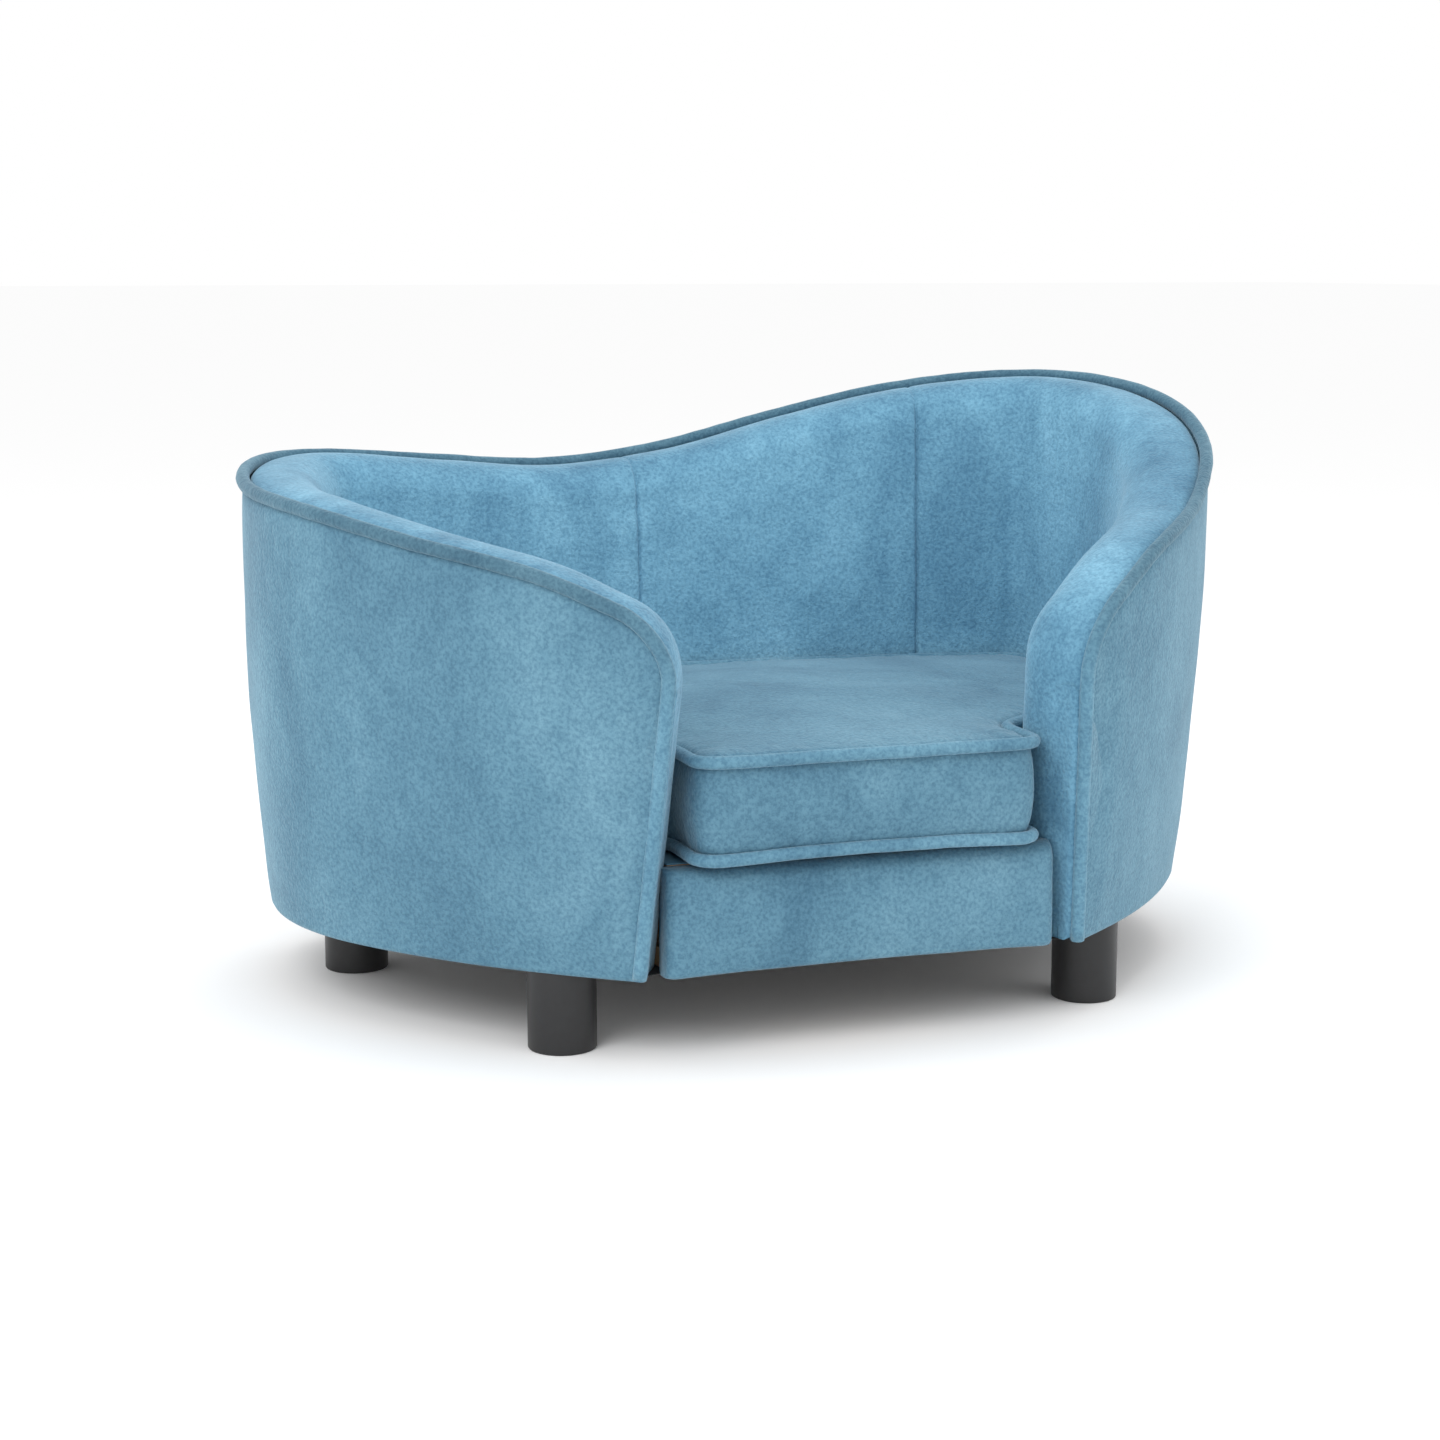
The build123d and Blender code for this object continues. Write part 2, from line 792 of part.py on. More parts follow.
def rail_foam():
    """Foam on the front, the top and the ends of the rail board."""
    block = rail_block(cover_thickness + fit_gap, RAIL_BACK)
    board = rail_board().bounding_box()
    room = Box(board.size.X + 2 * fit_gap, board.size.Y + fit_gap + cut_overrun,
               board.size.Z + fit_gap + cut_overrun, align=(Align.CENTER, Align.MIN, Align.MAX))
    return block - Pos(0, board.min.Y - fit_gap, board.max.Z + fit_gap) * room


def deck_cloth():
    cloth = extrude(flat_face(*cushion_outline(cushion_side_draw / 2, seat_height)),
                    amount=deck_cloth_thickness, dir=(0, 0, 1))
    front = Box(2 * half_width, half_width, 2 * cut_overrun,
                align=(Align.CENTER, Align.MAX, Align.CENTER))
    return cloth - Pos(0, fit_gap - RAIL_BACK, seat_height) * front


def dust_cloth():
    cloth = base_plate(hem_width + fit_gap, BASE_UNDER - dust_cloth_thickness,
                       dust_cloth_thickness, RAIL_BACK - fit_gap)
    window = 2 * (leg_radius + leg_hole_clear)
    for place in leg_places().values():
        cloth -= Pos(place[0], place[1], BASE_UNDER) * Box(window, window, cut_overrun)
    return cloth


def side_path(side):
    """Places (w, z) of the rim piping on one side, from the arm's foot to the seam."""
    def at(place):
        return place if side < 0 else WALL_LENGTH - place

    s = rim_piping_inset
    foot = base_height + rim_piping_radius
    bend_foot = rim(at(s))
    spots = []
    for i in range(piping_upright_steps):
        spots.append((at(s), foot + (bend_foot - foot) * i / piping_upright_steps))
    along = [s + (nose_reach - s) * share for share in piping_nose_shares]
    along += [place for place in SHARED if place > nose_reach + fit_gap]
    return spots + [(at(place), rim(at(place))) for place in along]


def rim_piping():
    """Cord that is sewn into the seam along the rim and down both arm fronts."""
    back = [(w, rim(w)) for w in back_places(seam_at)[1:-1]]
    spots = side_path(-1) + back + side_path(1)[::-1]
    path = [wall_point(w, rim_piping_inset, z) for w, z in spots]
    face = [wall_point(w, 0.0, z) for w, z in spots]
    rings = []
    for i, point in enumerate(path):
        along = path[min(i + 1, len(path) - 1)] - path[max(i - 1, 0)]
        rings.append(ring(point, along, face[i] - point, rim_piping_radius))
    return skin(rings)


def outer_cover():
    """Cover of the wall's outer face, turned in under the base board."""
    start = rim_piping_inset + front_seam_clear
    left = side_places(start, -1)
    right = side_places(start, 1)[::-1]
    cover = wall_skin(left + back_places(seam_at)[1:-1] + right, outer_cover_corners)
    for place in leg_places().values():
        cover -= upright(leg_radius + fit_gap, 0.0, BASE_UNDER, place)
    return cover


def write(name, shape):
    placed = Compound(children=[Pos(0, -origin_back, 0) * solid for solid in shape.solids()])
    placed.label = name
    export_step(placed, os.path.join("parts", name + ".step"))


def build():
    """All nodes by name."""
    nodes = {}
    spots = leg_places()
    for name, place in spots.items():
        nodes[name] = leg(place)
    nodes["leg_hanger_bolts"] = Compound(children=[hanger_bolt(p) for p in spots.values()])
    nodes["leg_tee_nuts"] = Compound(children=[tee_nut(p) for p in spots.values()])

    screws = screw_places()
    base = base_plate(INNER_FACE, BASE_UNDER, board_thickness, RAIL_BACK - fit_gap)
    for place in spots.values():
        base -= upright(nut_barrel_radius + bolt_clear, BASE_UNDER - cut_overrun,
                        board_thickness + 2 * cut_overrun, place)
    for place in screws:
        base -= screw_hole(place, bolt_clear)
    nodes["base_board"] = base
    nodes["frame_screws"] = Compound(children=[screw(p) for p in screws])

    posts = {name: post(side, start, post_width, 0.0) for name, (side, start) in POSTS.items()}
    seat = base_plate(INNER_FACE, seat_height - seat_board_thickness, seat_board_thickness,
                      RAIL_BACK - fit_gap)
    for side, start in POSTS.values():
        seat -= post(side, start, post_width, fit_gap, cut_overrun)
    nodes["seat_board"] = seat
    for name, shape in posts.items():
        for place in screws:
            shape = shape - screw_hole(place, bolt_clear)
        nodes[name] = shape

    batten_back = wall_point(HALF_LENGTH, INNER_FACE, BASE_TOP).Y - batten_room
    batten_length = RAIL_BACK + batten_back - 2 * fit_gap
    batten_height = seat_height - seat_board_thickness - BASE_TOP
    spacing = spots["front_right_leg"][0] - batten_leg_room
    battens = []
    for x in (-spacing, 0.0, spacing):
        bar = Pos(x, batten_back, BASE_TOP) * Box(
            batten_width, batten_length, batten_height,
            align=(Align.CENTER, Align.MAX, Align.MIN),
        )
        battens.append(bar)
    nodes["base_battens"] = Compound(children=battens)

    for name, side in (("left", -1), ("right", 1)):
        nodes[name + "_wall_panel"] = side_part(side, panel_start, panel_corners)
        nodes[name + "_outer_wadding"] = side_part(
            side, rim_piping_inset + seam_clear + wadding_drop, wadding_corners)
        foam = side_part(side, cap_depth + fit_gap, foam_corners)
        for post_side, post_start in POSTS.values():
            if post_side == side:
                foam = foam - post(post_side, post_start, post_width, fit_gap, cut_overrun)
        nodes[name + "_wall_foam"] = foam
        nodes[name + "_inner_cover"] = arm_lining(side)
    nodes["back_wall_panel"] = back_part(panel_corners)
    nodes["back_outer_wadding"] = back_part(wadding_corners)
    foam = back_part(foam_corners)
    for side, start in POSTS.values():
        foam = foam - post(side, start, post_width, fit_gap, cut_overrun)
    nodes["back_wall_foam"] = foam
    nodes["back_inner_cover"] = back_part(lining_corners)
    nodes["outer_cover"] = outer_cover()
    nodes["rim_piping"] = rim_piping()

    nodes["front_rail_cover"] = rail_cover()
    nodes["front_rail_foam"] = rail_foam()
    nodes["front_rail_board"] = rail_board()
    nodes["deck_cloth"] = deck_cloth()
    nodes["dust_cloth"] = dust_cloth()

    nodes["cushion_cover"] = cushion_solid(0.0) - cushion_solid(cushion_cloth)
    nodes["cushion_core"] = cushion_core()
    nodes["cushion_bottom_piping"] = cushion_piping(CUSHION_LOW)
    nodes["cushion_top_piping"] = cushion_piping(CUSHION_HIGH)
    nodes["cushion_zip"] = cushion_zip()
    nodes["zip_slider"] = zip_slider()
    return nodes


def main():
    os.makedirs("parts", exist_ok=True)
    for name, shape in build().items():
        write(name, shape)


main()
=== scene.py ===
import math

import bmesh
import bpy
import numpy as np
from mathutils import Matrix, Vector, kdtree, noise


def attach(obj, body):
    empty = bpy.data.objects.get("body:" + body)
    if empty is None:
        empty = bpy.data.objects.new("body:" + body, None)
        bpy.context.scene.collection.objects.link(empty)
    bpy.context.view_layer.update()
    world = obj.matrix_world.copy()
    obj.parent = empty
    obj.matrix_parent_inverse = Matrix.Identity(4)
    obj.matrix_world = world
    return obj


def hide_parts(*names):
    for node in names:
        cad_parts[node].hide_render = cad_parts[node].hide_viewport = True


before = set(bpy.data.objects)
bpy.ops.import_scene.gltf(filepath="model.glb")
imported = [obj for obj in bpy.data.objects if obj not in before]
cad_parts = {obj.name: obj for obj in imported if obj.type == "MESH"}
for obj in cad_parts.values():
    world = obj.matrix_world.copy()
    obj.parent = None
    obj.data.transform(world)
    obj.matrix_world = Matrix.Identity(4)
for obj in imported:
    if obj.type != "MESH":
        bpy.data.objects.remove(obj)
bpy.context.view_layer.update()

MM = 0.001

# Sizes of the sofa in millimetres and degrees. They follow the part's source, apart from the cushion, whose front
# is a little wider here.
origin_back = 5.1
half_width = 339.0
front_radius = 516.0
side_radius = 228.0
corner_radius = 80.0
rim_headings = (32.7, 60.0, 118.0, 163.0, 180.0)
rim_height = 395.0
rim_height_shares = (
    0.685, 0.760, 0.800, 0.835, 0.853, 0.873, 0.878, 0.861, 0.846, 0.870,
    0.925, 0.975, 1.000, 0.995, 0.957, 0.889, 0.815, 0.762, 0.663,
)
base_height = 52.0
front_flare = 31.5
side_flare = 14.0
back_flare = 22.0
front_lean = 28.0
lean_reach = 150.0
lean_top = 265.0
nose_reach = 38.0
nose_drop = 40.0
wall_thickness = 56.0
end_thickness = 25.0
end_round = 28.0
cover_puff = 5.0
rim_piping_radius = 4.5
rim_piping_inset = 1.0
cushion_piping_radius = 4.0
floor_top = 121.0
rail_front = 200.0
rail_back = 179.9
rail_half_front = 129.0
rail_top = 120.0
leg_radius = 21.6
leg_top = 53.8
leg_least_radius = 0.02
leg_runs = {"front": (92.0, 23.7), "rear": (420.0, 56.4)}
cushion_front = 214.0
cushion_half_front = 117.5
cushion_half_width = 269.2
cushion_side_centre = 55.6
cushion_front_radius = 20.0
cushion_least_radius = 4.0
cushion_hollow_radius = 20.0
cushion_diagonal_radius = 408.0
cushion_side_radius = 141.8
cushion_rear_radius = 34.0
cushion_headings = (38.3, 58.2, 114.7, 165.8, 180.0)
cushion_low = 127.0
cushion_high = 187.0
cushion_draw = 8.3
cushion_bottom = 121.4
zip_inner = 949.16
zip_centre = -789.88
zip_middle = 157.0
zip_half_span = 110.0

# Starting form of the cushion: how its sides swell, its lower edge as rise and inset, its top edge and its dome.
cushion_side_swell = 4.0
cushion_under_edge = ((0.4, 20.0), (1.4, 14.0))
cushion_top_rise, cushion_top_inset = 5.0, 19.0
cushion_dome_rise, cushion_dome_middle = 3.0, -10.0

# Cushion as cloth: the mesh's spacing, how far a point may move, and how near to the seams, the zip and the
# bottom it is held.
cushion_voxel = 5.0
cushion_swell_limit = 10.0
sewn_width, sewn_height, zip_hold, bottom_hold = 6.0, 3.6, 12.0, 1.2

# Finish of the cushion: puckers beside the seams, lumps, and the room that it leaves inside its widest outline.
cushion_pucker = 1.1
cushion_pucker_reach = 13.0
cushion_lump_share = 0.8
cushion_room_zip, cushion_room_back, cushion_room_front, cushion_room_side = 4.2, 2.0, 0.4, 1.6

# Outer cover: where it starts behind the arm's front, how it swells, and how it tucks in at the piping.
cover_start = 3.4
cover_first_steps = (0.0, 1.2, 2.6, 4.2, 6.2)
cover_hem = 3.0
swell_reach = 45.0
tuck_depth = 1.7
tuck_reach_front = 3.5
tuck_reach_top = 4.0

# Inner cover: its start behind the rim line, the share of the wall where its top is highest, the fall from
# the top to both faces, the extra fullness of its inner face, and the length of each arm that it closes.
pad_start = 4.9
pad_crest_share = 0.44
pad_drop_out = 5.4
pad_drop_in = 27.0
pad_fullness = 2.2
pad_fullness_low = 212.0
pad_closed_front = 13.0
front_shrinks = (0.04, 0.2, 0.36, 0.52, 0.66, 0.78, 0.87, 0.94, 0.98)
front_swell = 4.6

# How far the padded top of the wall stands over the piping, at even steps from the left arm's foot.
roll_crowns = (3.0, 4.0, 5.0, 4.5, 3.0, 1.0, 0.2, 0.2, 0.2, 0.6, 1.5, 2.5, 3.0)

# The two upright seams, by their run along the rim, the spacing of the sections beside them, and the depth and
# reach of their slit, their dip, their notch at the top and their puckers.
seam_places = (775.0, 1005.0)
seam_steps = (0.0, 0.5, 1.1, 1.8, 2.8, 4.2, 6.4, 9.6)
seam_slit, seam_slit_reach = 2.4, 1.1
seam_dip, seam_dip_reach = 1.3, 9.0
seam_top_dip, seam_top_reach = 0.5, 1.6
seam_pucker, seam_pucker_reach, seam_pucker_pitch = 0.5, 12.0, 3.4

# Soft folds of the rear corners: the middle of the folds, the point that they fan out from, their height,
# their reach and the height where they end under the rolled top.
fold_corner = (252.0, 140.0)
fold_centre = (180.0, 40.0)
fold_height, fold_reach, fold_top = 1.5, 75.0, 322.0

# Lumps of the soft surfaces: height, size and seed of each wave.
cover_lumps = ((1.0, 90, 3.0), (0.45, 34, 8.0))
pad_lumps = ((0.5, 70, 1.0), (0.25, 24, 5.0))
rim_piping_lumps = ((0.28, 13, 2.0),)
rail_lumps = ((0.5, 45, 4.0),)
cushion_lumps = ((1.0, 55, 9.0), (0.4, 21, 6.0))
cushion_piping_lumps = ((0.22, 11, 2.0),)
cushion_piping_sway = ((0.5, 40, 7.0),)


def rim_arcs():
    """Arcs of half the rim line, as start point, start and end headings, and radius, centred on the depth."""
    turns = [math.radians(a) for a in rim_headings]
    x = half_width - side_radius * (1 - math.sin(turns[1]))
    x -= front_radius * (math.sin(turns[1]) - math.sin(turns[0]))
    y = 0.0
    arcs = []
    for radius, start, end in zip((front_radius, side_radius, corner_radius), turns, turns[1:]):
        arcs.append((x, y, start, end, radius))
        x += radius * (math.sin(end) - math.sin(start))
        y += radius * (math.cos(start) - math.cos(end))
    back_radius = x / math.sin(turns[3])
    arcs.append((x, y, turns[3], turns[4], back_radius))
    depth = y + back_radius * (math.cos(turns[3]) - math.cos(turns[4]))
    return [(x, y - depth / 2, start, end, radius) for x, y, start, end, radius in arcs]


ARCS = rim_arcs()
HALF_LENGTH = sum(radius * (end - start) for x, y, start, end, radius in ARCS)
WALL_LENGTH = 2 * HALF_LENGTH


def rim_line(s):
    """Point and heading of the rim line at s from the arm's foot."""
    for x, y, start, end, radius in ARCS:
        length = radius * (end - start)
        if s <= length or end == ARCS[-1][3]:
            break
        s -= length
    heading = start + s / radius
    px = x + radius * (math.sin(heading) - math.sin(start))
    py = y + radius * (math.cos(start) - math.cos(heading))
    return px, py, heading


def from_front(w):
    """Side of the place w along the whole rim, -1 left or 1 right, and its run from that arm's foot."""
    if w <= HALF_LENGTH:
        return -1, w
    return 1, WALL_LENGTH - w


def along_list(values, share):
    """Smooth curve through even steps of a list."""
    steps = len(values) - 1
    place = min(max(share, 0), 1) * steps
    i = min(int(place), steps - 1)
    t = place - i
    a, b, c, d = values[max(i - 1, 0)], values[i], values[i + 1], values[min(i + 2, steps)]
    return (2 * b + (c - a) * t + (2 * a - 5 * b + 4 * c - d) * t**2
            + (3 * b - a - 3 * c + d) * t**3) / 2


def whole_run(half):
    """Both sides' places along the rim, from those of one side."""
    return half[:-1] + [HALF_LENGTH] + [WALL_LENGTH - s for s in reversed(half[:-1])]


def rim(w):
    """Height of the rim at w, with the bend down into each arm front."""
    s = from_front(w)[1]
    ahead = min(max((nose_reach - s) / nose_reach, 0), 1)
    smooth = rim_height * along_list(rim_height_shares, w / WALL_LENGTH)
    return smooth - nose_drop * (1 - math.sqrt(1 - ahead**2))


def thickness(s):
    """Thickness of the wall, thinner at the arm's front."""
    ahead = 1 - min(max(s, 0), end_round) / end_round
    return end_thickness + (wall_thickness - end_thickness) * math.sqrt(1 - ahead**2)


def flare(s):
    """How much further in the wall stands at its foot than at its top."""
    share = min(max(s / HALF_LENGTH, 0), 1)
    if share < 0.5:
        first, last, t = front_flare, side_flare, 2 * share
    else:
        first, last, t = side_flare, back_flare, 2 * share - 1
    return first + (last - first) * (3 * t**2 - 2 * t**3)


def wall_point(w, inward, z):
    """Point at w along the wall, `inward` from its outer face, at height z."""
    side, s = from_front(w)
    x, y, heading = rim_line(s)
    nx, ny = math.sin(heading), -math.cos(heading)
    tx, ty = math.cos(heading), math.sin(heading)
    back = flare(s) * (rim_height - z) / (rim_height - base_height) + inward
    rake = front_lean * max(0, 1 - s / lean_reach) ** 2
    rake *= (lean_top - z) / (lean_top - base_height)
    return (side * (x - back * nx + rake * tx), y - back * ny + rake * ty, z)


def spaced(start, end, step):
    """Even places from start to end, about a step apart."""
    count = max(2, int(round(abs(end - start) / step)) + 1)
    return list(np.linspace(start, end, count))


def smooth_step(t):
    """Rises smoothly from 0 to 1 as t does."""
    t = min(max(t, 0.0), 1.0)
    return t * t * (3 - 2 * t)


def bell(away, reach):
    """1 at no distance, falling smoothly to nothing beyond the reach."""
    return math.exp(-(away / reach) ** 2)


def mesh_object(name, points, faces):
    """Smooth-shaded object from points in millimetres."""
    mesh = bpy.data.meshes.new(name)
    mesh.from_pydata([tuple(c * MM for c in p) for p in points], [], faces)
    bm = bmesh.new()
    bm.from_mesh(mesh)
    bmesh.ops.remove_doubles(bm, verts=bm.verts, dist=0.02 * MM)
    bmesh.ops.recalc_face_normals(bm, faces=bm.faces)
    bm.to_mesh(mesh)
    bm.free()
    mesh.polygons.foreach_set("use_smooth", [True] * len(mesh.polygons))
    mesh.update()
    obj = bpy.data.objects.new(name, mesh)
    bpy.context.scene.collection.objects.link(obj)
    return obj


def tube(name, rings, closed=False):
    """Skin through equal rings, closed into a loop or capped at both ends."""
    n = len(rings[0])
    points = [p for ring in rings for p in ring]
    faces = []
    spans = len(rings) if closed else len(rings) - 1
    for i in range(spans):
        a, b = i * n, (i + 1) % len(rings) * n
        for j in range(n):
            k = (j + 1) % n
            faces.append((a + j, a + k, b + k, b + j))
    if not closed:
        faces.append(tuple(range(n))[::-1])
        faces.append(tuple(range(len(points) - n, len(points))))
    return mesh_object(name, points, faces)


def cord_tube(name, path, radius, sides=14, closed=False, outward=None):
    """Round tube along a path of points in millimetres."""
    path = np.array(path, float)
    n = len(path)
    rings = []
    for i in range(n):
        if closed:
            along = path[(i + 1) % n] - path[i - 1]
        else:
            along = path[min(i + 1, n - 1)] - path[max(i - 1, 0)]
        along /= np.linalg.norm(along)
        side = outward[i] - along * np.dot(outward[i], along)
        side /= np.linalg.norm(side)
        up = np.cross(along, side)
        turns = [2 * math.pi * j / sides for j in range(sides)]
        rings.append([path[i] + radius * (math.cos(a) * side + math.sin(a) * up) for a in turns])
    return tube(name, rings, closed)


def wave(p, size, seed):
    """Soft noise from -1 to 1 with lumps of that size in millimetres."""
    return noise.noise(Vector((p[0] / size + seed, p[1] / size, p[2] / size)))


def lumps(p, waves):
    """Sum of several waves at a point in millimetres."""
    return sum(height * wave(p, size, seed) for height, size, seed in waves)


def displace(obj, amount):
    """Moves each vertex along its normal by amount(point in mm) millimetres."""
    mesh = obj.data
    moved = []
    for v in mesh.vertices:
        p = v.co / MM
        moved.append(v.co + v.normal * (amount(p) * MM))
    for v, co in zip(mesh.vertices, moved):
        v.co = co
    mesh.update()


# Outer cover.

def outer_profile(w):
    """Outline (inward, z) of the outer cover at w: it swells between its edges and tucks in at the piping."""
    s = from_front(w)[1]
    low, top = base_height + cover_hem, rim(w) - cover_hem
    swell = cover_puff * smooth_step((s - cover_start) / swell_reach)
    front_tuck = tuck_depth * bell(s - cover_start, tuck_reach_front)
    rows = 40
    face = []
    for i in range(rows + 1):
        t = (1 - math.cos(math.pi * i / rows)) / 2
        z = low + (top - low) * t
        tuck = max(front_tuck, tuck_depth * bell(top - z, tuck_reach_top))
        face.append((tuck - swell * 4 * t * (1 - t), z))
    turn_in = [(7.5, base_height + 1.6), (7.0, base_height + 0.2),
               (3.4, base_height), (1.0, base_height + 0.9)]
    inside = [(2.2, top), (2.2 - cover_puff * 0.8, (top + base_height) / 2), (2.6, base_height + 4.0)]
    return turn_in + face + inside


def wall_stations(start, end, step=5.0):
    """Places along the wall, closer together round the bend of each arm front."""
    nose = [nose_reach * (1 - math.cos(math.pi / 2 * i / 16)) for i in range(17)]
    places = [s for s in nose if start <= s]
    places += spaced(nose_reach + 2.5, end, step)
    return places


def outer_cover():
    """Outer skin of the wall, from one arm front round to the other."""
    near = [cover_start + step for step in cover_first_steps]
    half = near + [s for s in wall_stations(near[-1], HALF_LENGTH) if s > near[-1] + 1.5]
    rings = [[wall_point(w, a, z) for a, z in outer_profile(w)] for w in whole_run(half)]
    obj = tube("outer_cover_plush", rings)
    displace(obj, lambda p: smooth_step((p[2] - base_height) / 25) * lumps(p, cover_lumps))
    return obj


# Inner pads: the rolled top, the inner face and the arm fronts.

def pad_profile(w, foot, shrink=1.0):
    """Closed outline (inward, z) of the pad at w."""
    s = from_front(w)[1]
    full = thickness(s)
    share = full / wall_thickness
    height = rim(w)
    crown = along_list(roll_crowns, w / WALL_LENGTH) * share
    crest = pad_start + (full - pad_start) * pad_crest_share
    drop_in = pad_drop_in * share
    back = pad_start - 0.6 if s < pad_closed_front else pad_start + 3.2
    points = []
    for i in range(13):
        a = math.pi / 2 * i / 12
        points.append((crest - (crest - pad_start) * math.cos(a) ** 0.9,
                       height - pad_drop_out + (crown + pad_drop_out) * math.sin(a) ** 0.9))
    for i in range(1, 15):
        a = math.pi / 2 * (1 - i / 14)
        points.append((crest + (full - crest) * math.cos(a) ** 0.92,
                       height - drop_in + (crown + drop_in) * math.sin(a) ** 0.92))
    low = height - drop_in
    for i in range(1, 27):
        z = low + (foot - low) * i / 26
        over = smooth_step((z - pad_fullness_low) / 30) * smooth_step((low - z) / 30)
        points.append((full + pad_fullness * over * share, z))
    points += [(full - 3, foot), (back + 5, foot), (back, foot + 3)]
    for i in range(1, 6):
        points.append((back, foot + 3 + (height - 12 - foot - 3) * i / 5))
    centre = (pad_start + full) / 2
    return [(centre + (a - centre) * shrink, z) for a, z in points]


def pad_foot(s):
    """Height of the pad's lower edge: down to the base at the arm's front, on the seat behind it."""
    return base_height + 1.5 if s < pad_closed_front else floor_top + 0.6


def arm_front_rings(side):
    """Padded end of an arm: rings that close in, and stand forward next to the piping."""
    rings = []
    w, behind = (0.0, 1.0) if side < 0 else (WALL_LENGTH, WALL_LENGTH - 1.0)
    inner_edge = thickness(0.0)
    for shrink in front_shrinks:
        ring = []
        for a, z in pad_profile(w, pad_foot(0.0), shrink):
            p, q = np.array(wall_point(w, a, z)), np.array(wall_point(behind, a, z))
            share = min(max((inner_edge - a) / (inner_edge - 4.3), 0), 1)
            ahead = front_swell * share**2 * (1 - share**9)
            ring.append(tuple(p + (p - q) / np.linalg.norm(p - q) * ahead))
        rings.append(ring)
    return rings


def mark_nap_shade(obj, rings):
    """Marks where painted shade darkens the cover: over the rolled top and on the arm fronts, where the pile lies
    the other way.
    """
    row = len(rings[0])
    places = kdtree.KDTree(len(rings) * row)
    for i, ring in enumerate(rings):
        for j, point in enumerate(ring):
            places.insert([c * MM for c in point], i * row + j)
    places.balance()
    nap_shade = obj.data.attributes.new("nap_shade", "FLOAT", "POINT")
    for v in obj.data.vertices:
        ring, place = divmod(places.find(v.co)[1], row)
        from_end = min(ring, len(rings) - 1 - ring)
        nap_shade.data[v.index].value = max(smooth_step((26 - place) / 12), smooth_step((20 - from_end) / 8))


def inner_cover():
    """The pads of both sides and of the back, sewn into one cover from one arm front to the other."""
    near_seams = [seam + step for seam in seam_places for step in seam_steps]
    near_seams += [seam - step for seam in seam_places for step in seam_steps[1:]]
    whole = [w for w in whole_run(wall_stations(0.0, HALF_LENGTH))
             if min(abs(w - seam) for seam in seam_places) > seam_steps[-1] + 1]
    rings = arm_front_rings(-1)
    for w in sorted(whole + near_seams):
        foot = pad_foot(from_front(w)[1])
        rings.append([wall_point(w, a, z) for a, z in pad_profile(w, foot)])
    rings += reversed(arm_front_rings(1))
    obj = tube("inner_cover_plush", rings)
    mark_nap_shade(obj, rings)
    dress_pad(obj)
    return obj


def nearest_seam(p):
    """Distance of a point of the inner face from the nearer upright seam, and the rim's height there."""
    nearest = (1000.0, rim_height)
    for w in seam_places:
        here = np.array(wall_point(w, 0.0, p[2]))
        run = np.array(wall_point(w + 1.0, 0.0, p[2])) - here
        run /= np.linalg.norm(run)
        offset = np.array(p) - here
        if np.linalg.norm(offset) < 80:
            nearest = min(nearest, (abs(float(np.dot(offset, run))), rim(w)))
    return nearest


def dress_pad(obj):
    """Dips at the upright seams, soft folds in the rear corners, and small lumps."""
    def shape(p):
        amount = lumps(p, pad_lumps)
        if p[1] > 60:
            away, seam_top = nearest_seam(p)
            below = smooth_step((seam_top + 8 - p[2]) / 30)
            pull = seam_slit * bell(away, seam_slit_reach) + seam_dip * bell(away, seam_dip_reach)
            ripple = math.sin(p[2] / seam_pucker_pitch + 2 * wave(p, 30, 2.0))
            pucker = seam_pucker * bell(away, seam_pucker_reach) * ripple
            amount -= (pull + pucker) * below + seam_top_dip * bell(away, seam_top_reach)
        away = math.hypot(abs(p[0]) - fold_corner[0], p[1] - fold_corner[1])
        if p[1] > 20 and away < 130:
            turn = math.atan2(p[1] - fold_centre[1], abs(p[0]) - fold_centre[0])
            fold = math.sin(11.0 * turn + 0.9 * math.sin(p[2] / 31.0) + p[0] * 0.004)
            amount += fold_height * fold * bell(away, fold_reach) * smooth_step((fold_top - p[2]) / 50)
        return amount

    displace(obj, shape)


# Rim piping.

def rim_piping():
    """Cord up one arm front, along the rim and down the other arm front."""
    start, foot = rim_piping_inset, base_height + 2.5
    left = [(start, z) for z in spaced(foot, rim(start), 8.0)[:-1]]
    left += [(max(s, start), rim(max(s, start))) for s in wall_stations(start, HALF_LENGTH, 4.0)]
    whole = list(left)
    for w, z in reversed(left[:-1]):
        if w <= start + 1e-6:
            lift = (z - foot) / (rim(start) - foot)
            whole.append((WALL_LENGTH - w, foot + lift * (rim(WALL_LENGTH - start) - foot)))
        else:
            whole.append((WALL_LENGTH - w, rim(WALL_LENGTH - w)))
    path = [wall_point(w, rim_piping_inset, z) for w, z in whole]
    face = [wall_point(w, 0.0, z) for w, z in whole]
    outward = [np.array(f) - np.array(p) for f, p in zip(face, path)]
    obj = cord_tube("rim_piping_cord", path, rim_piping_radius, 16, False, outward)
    displace(obj, lambda p: lumps(p, rim_piping_lumps))
    return obj


# Front rail.

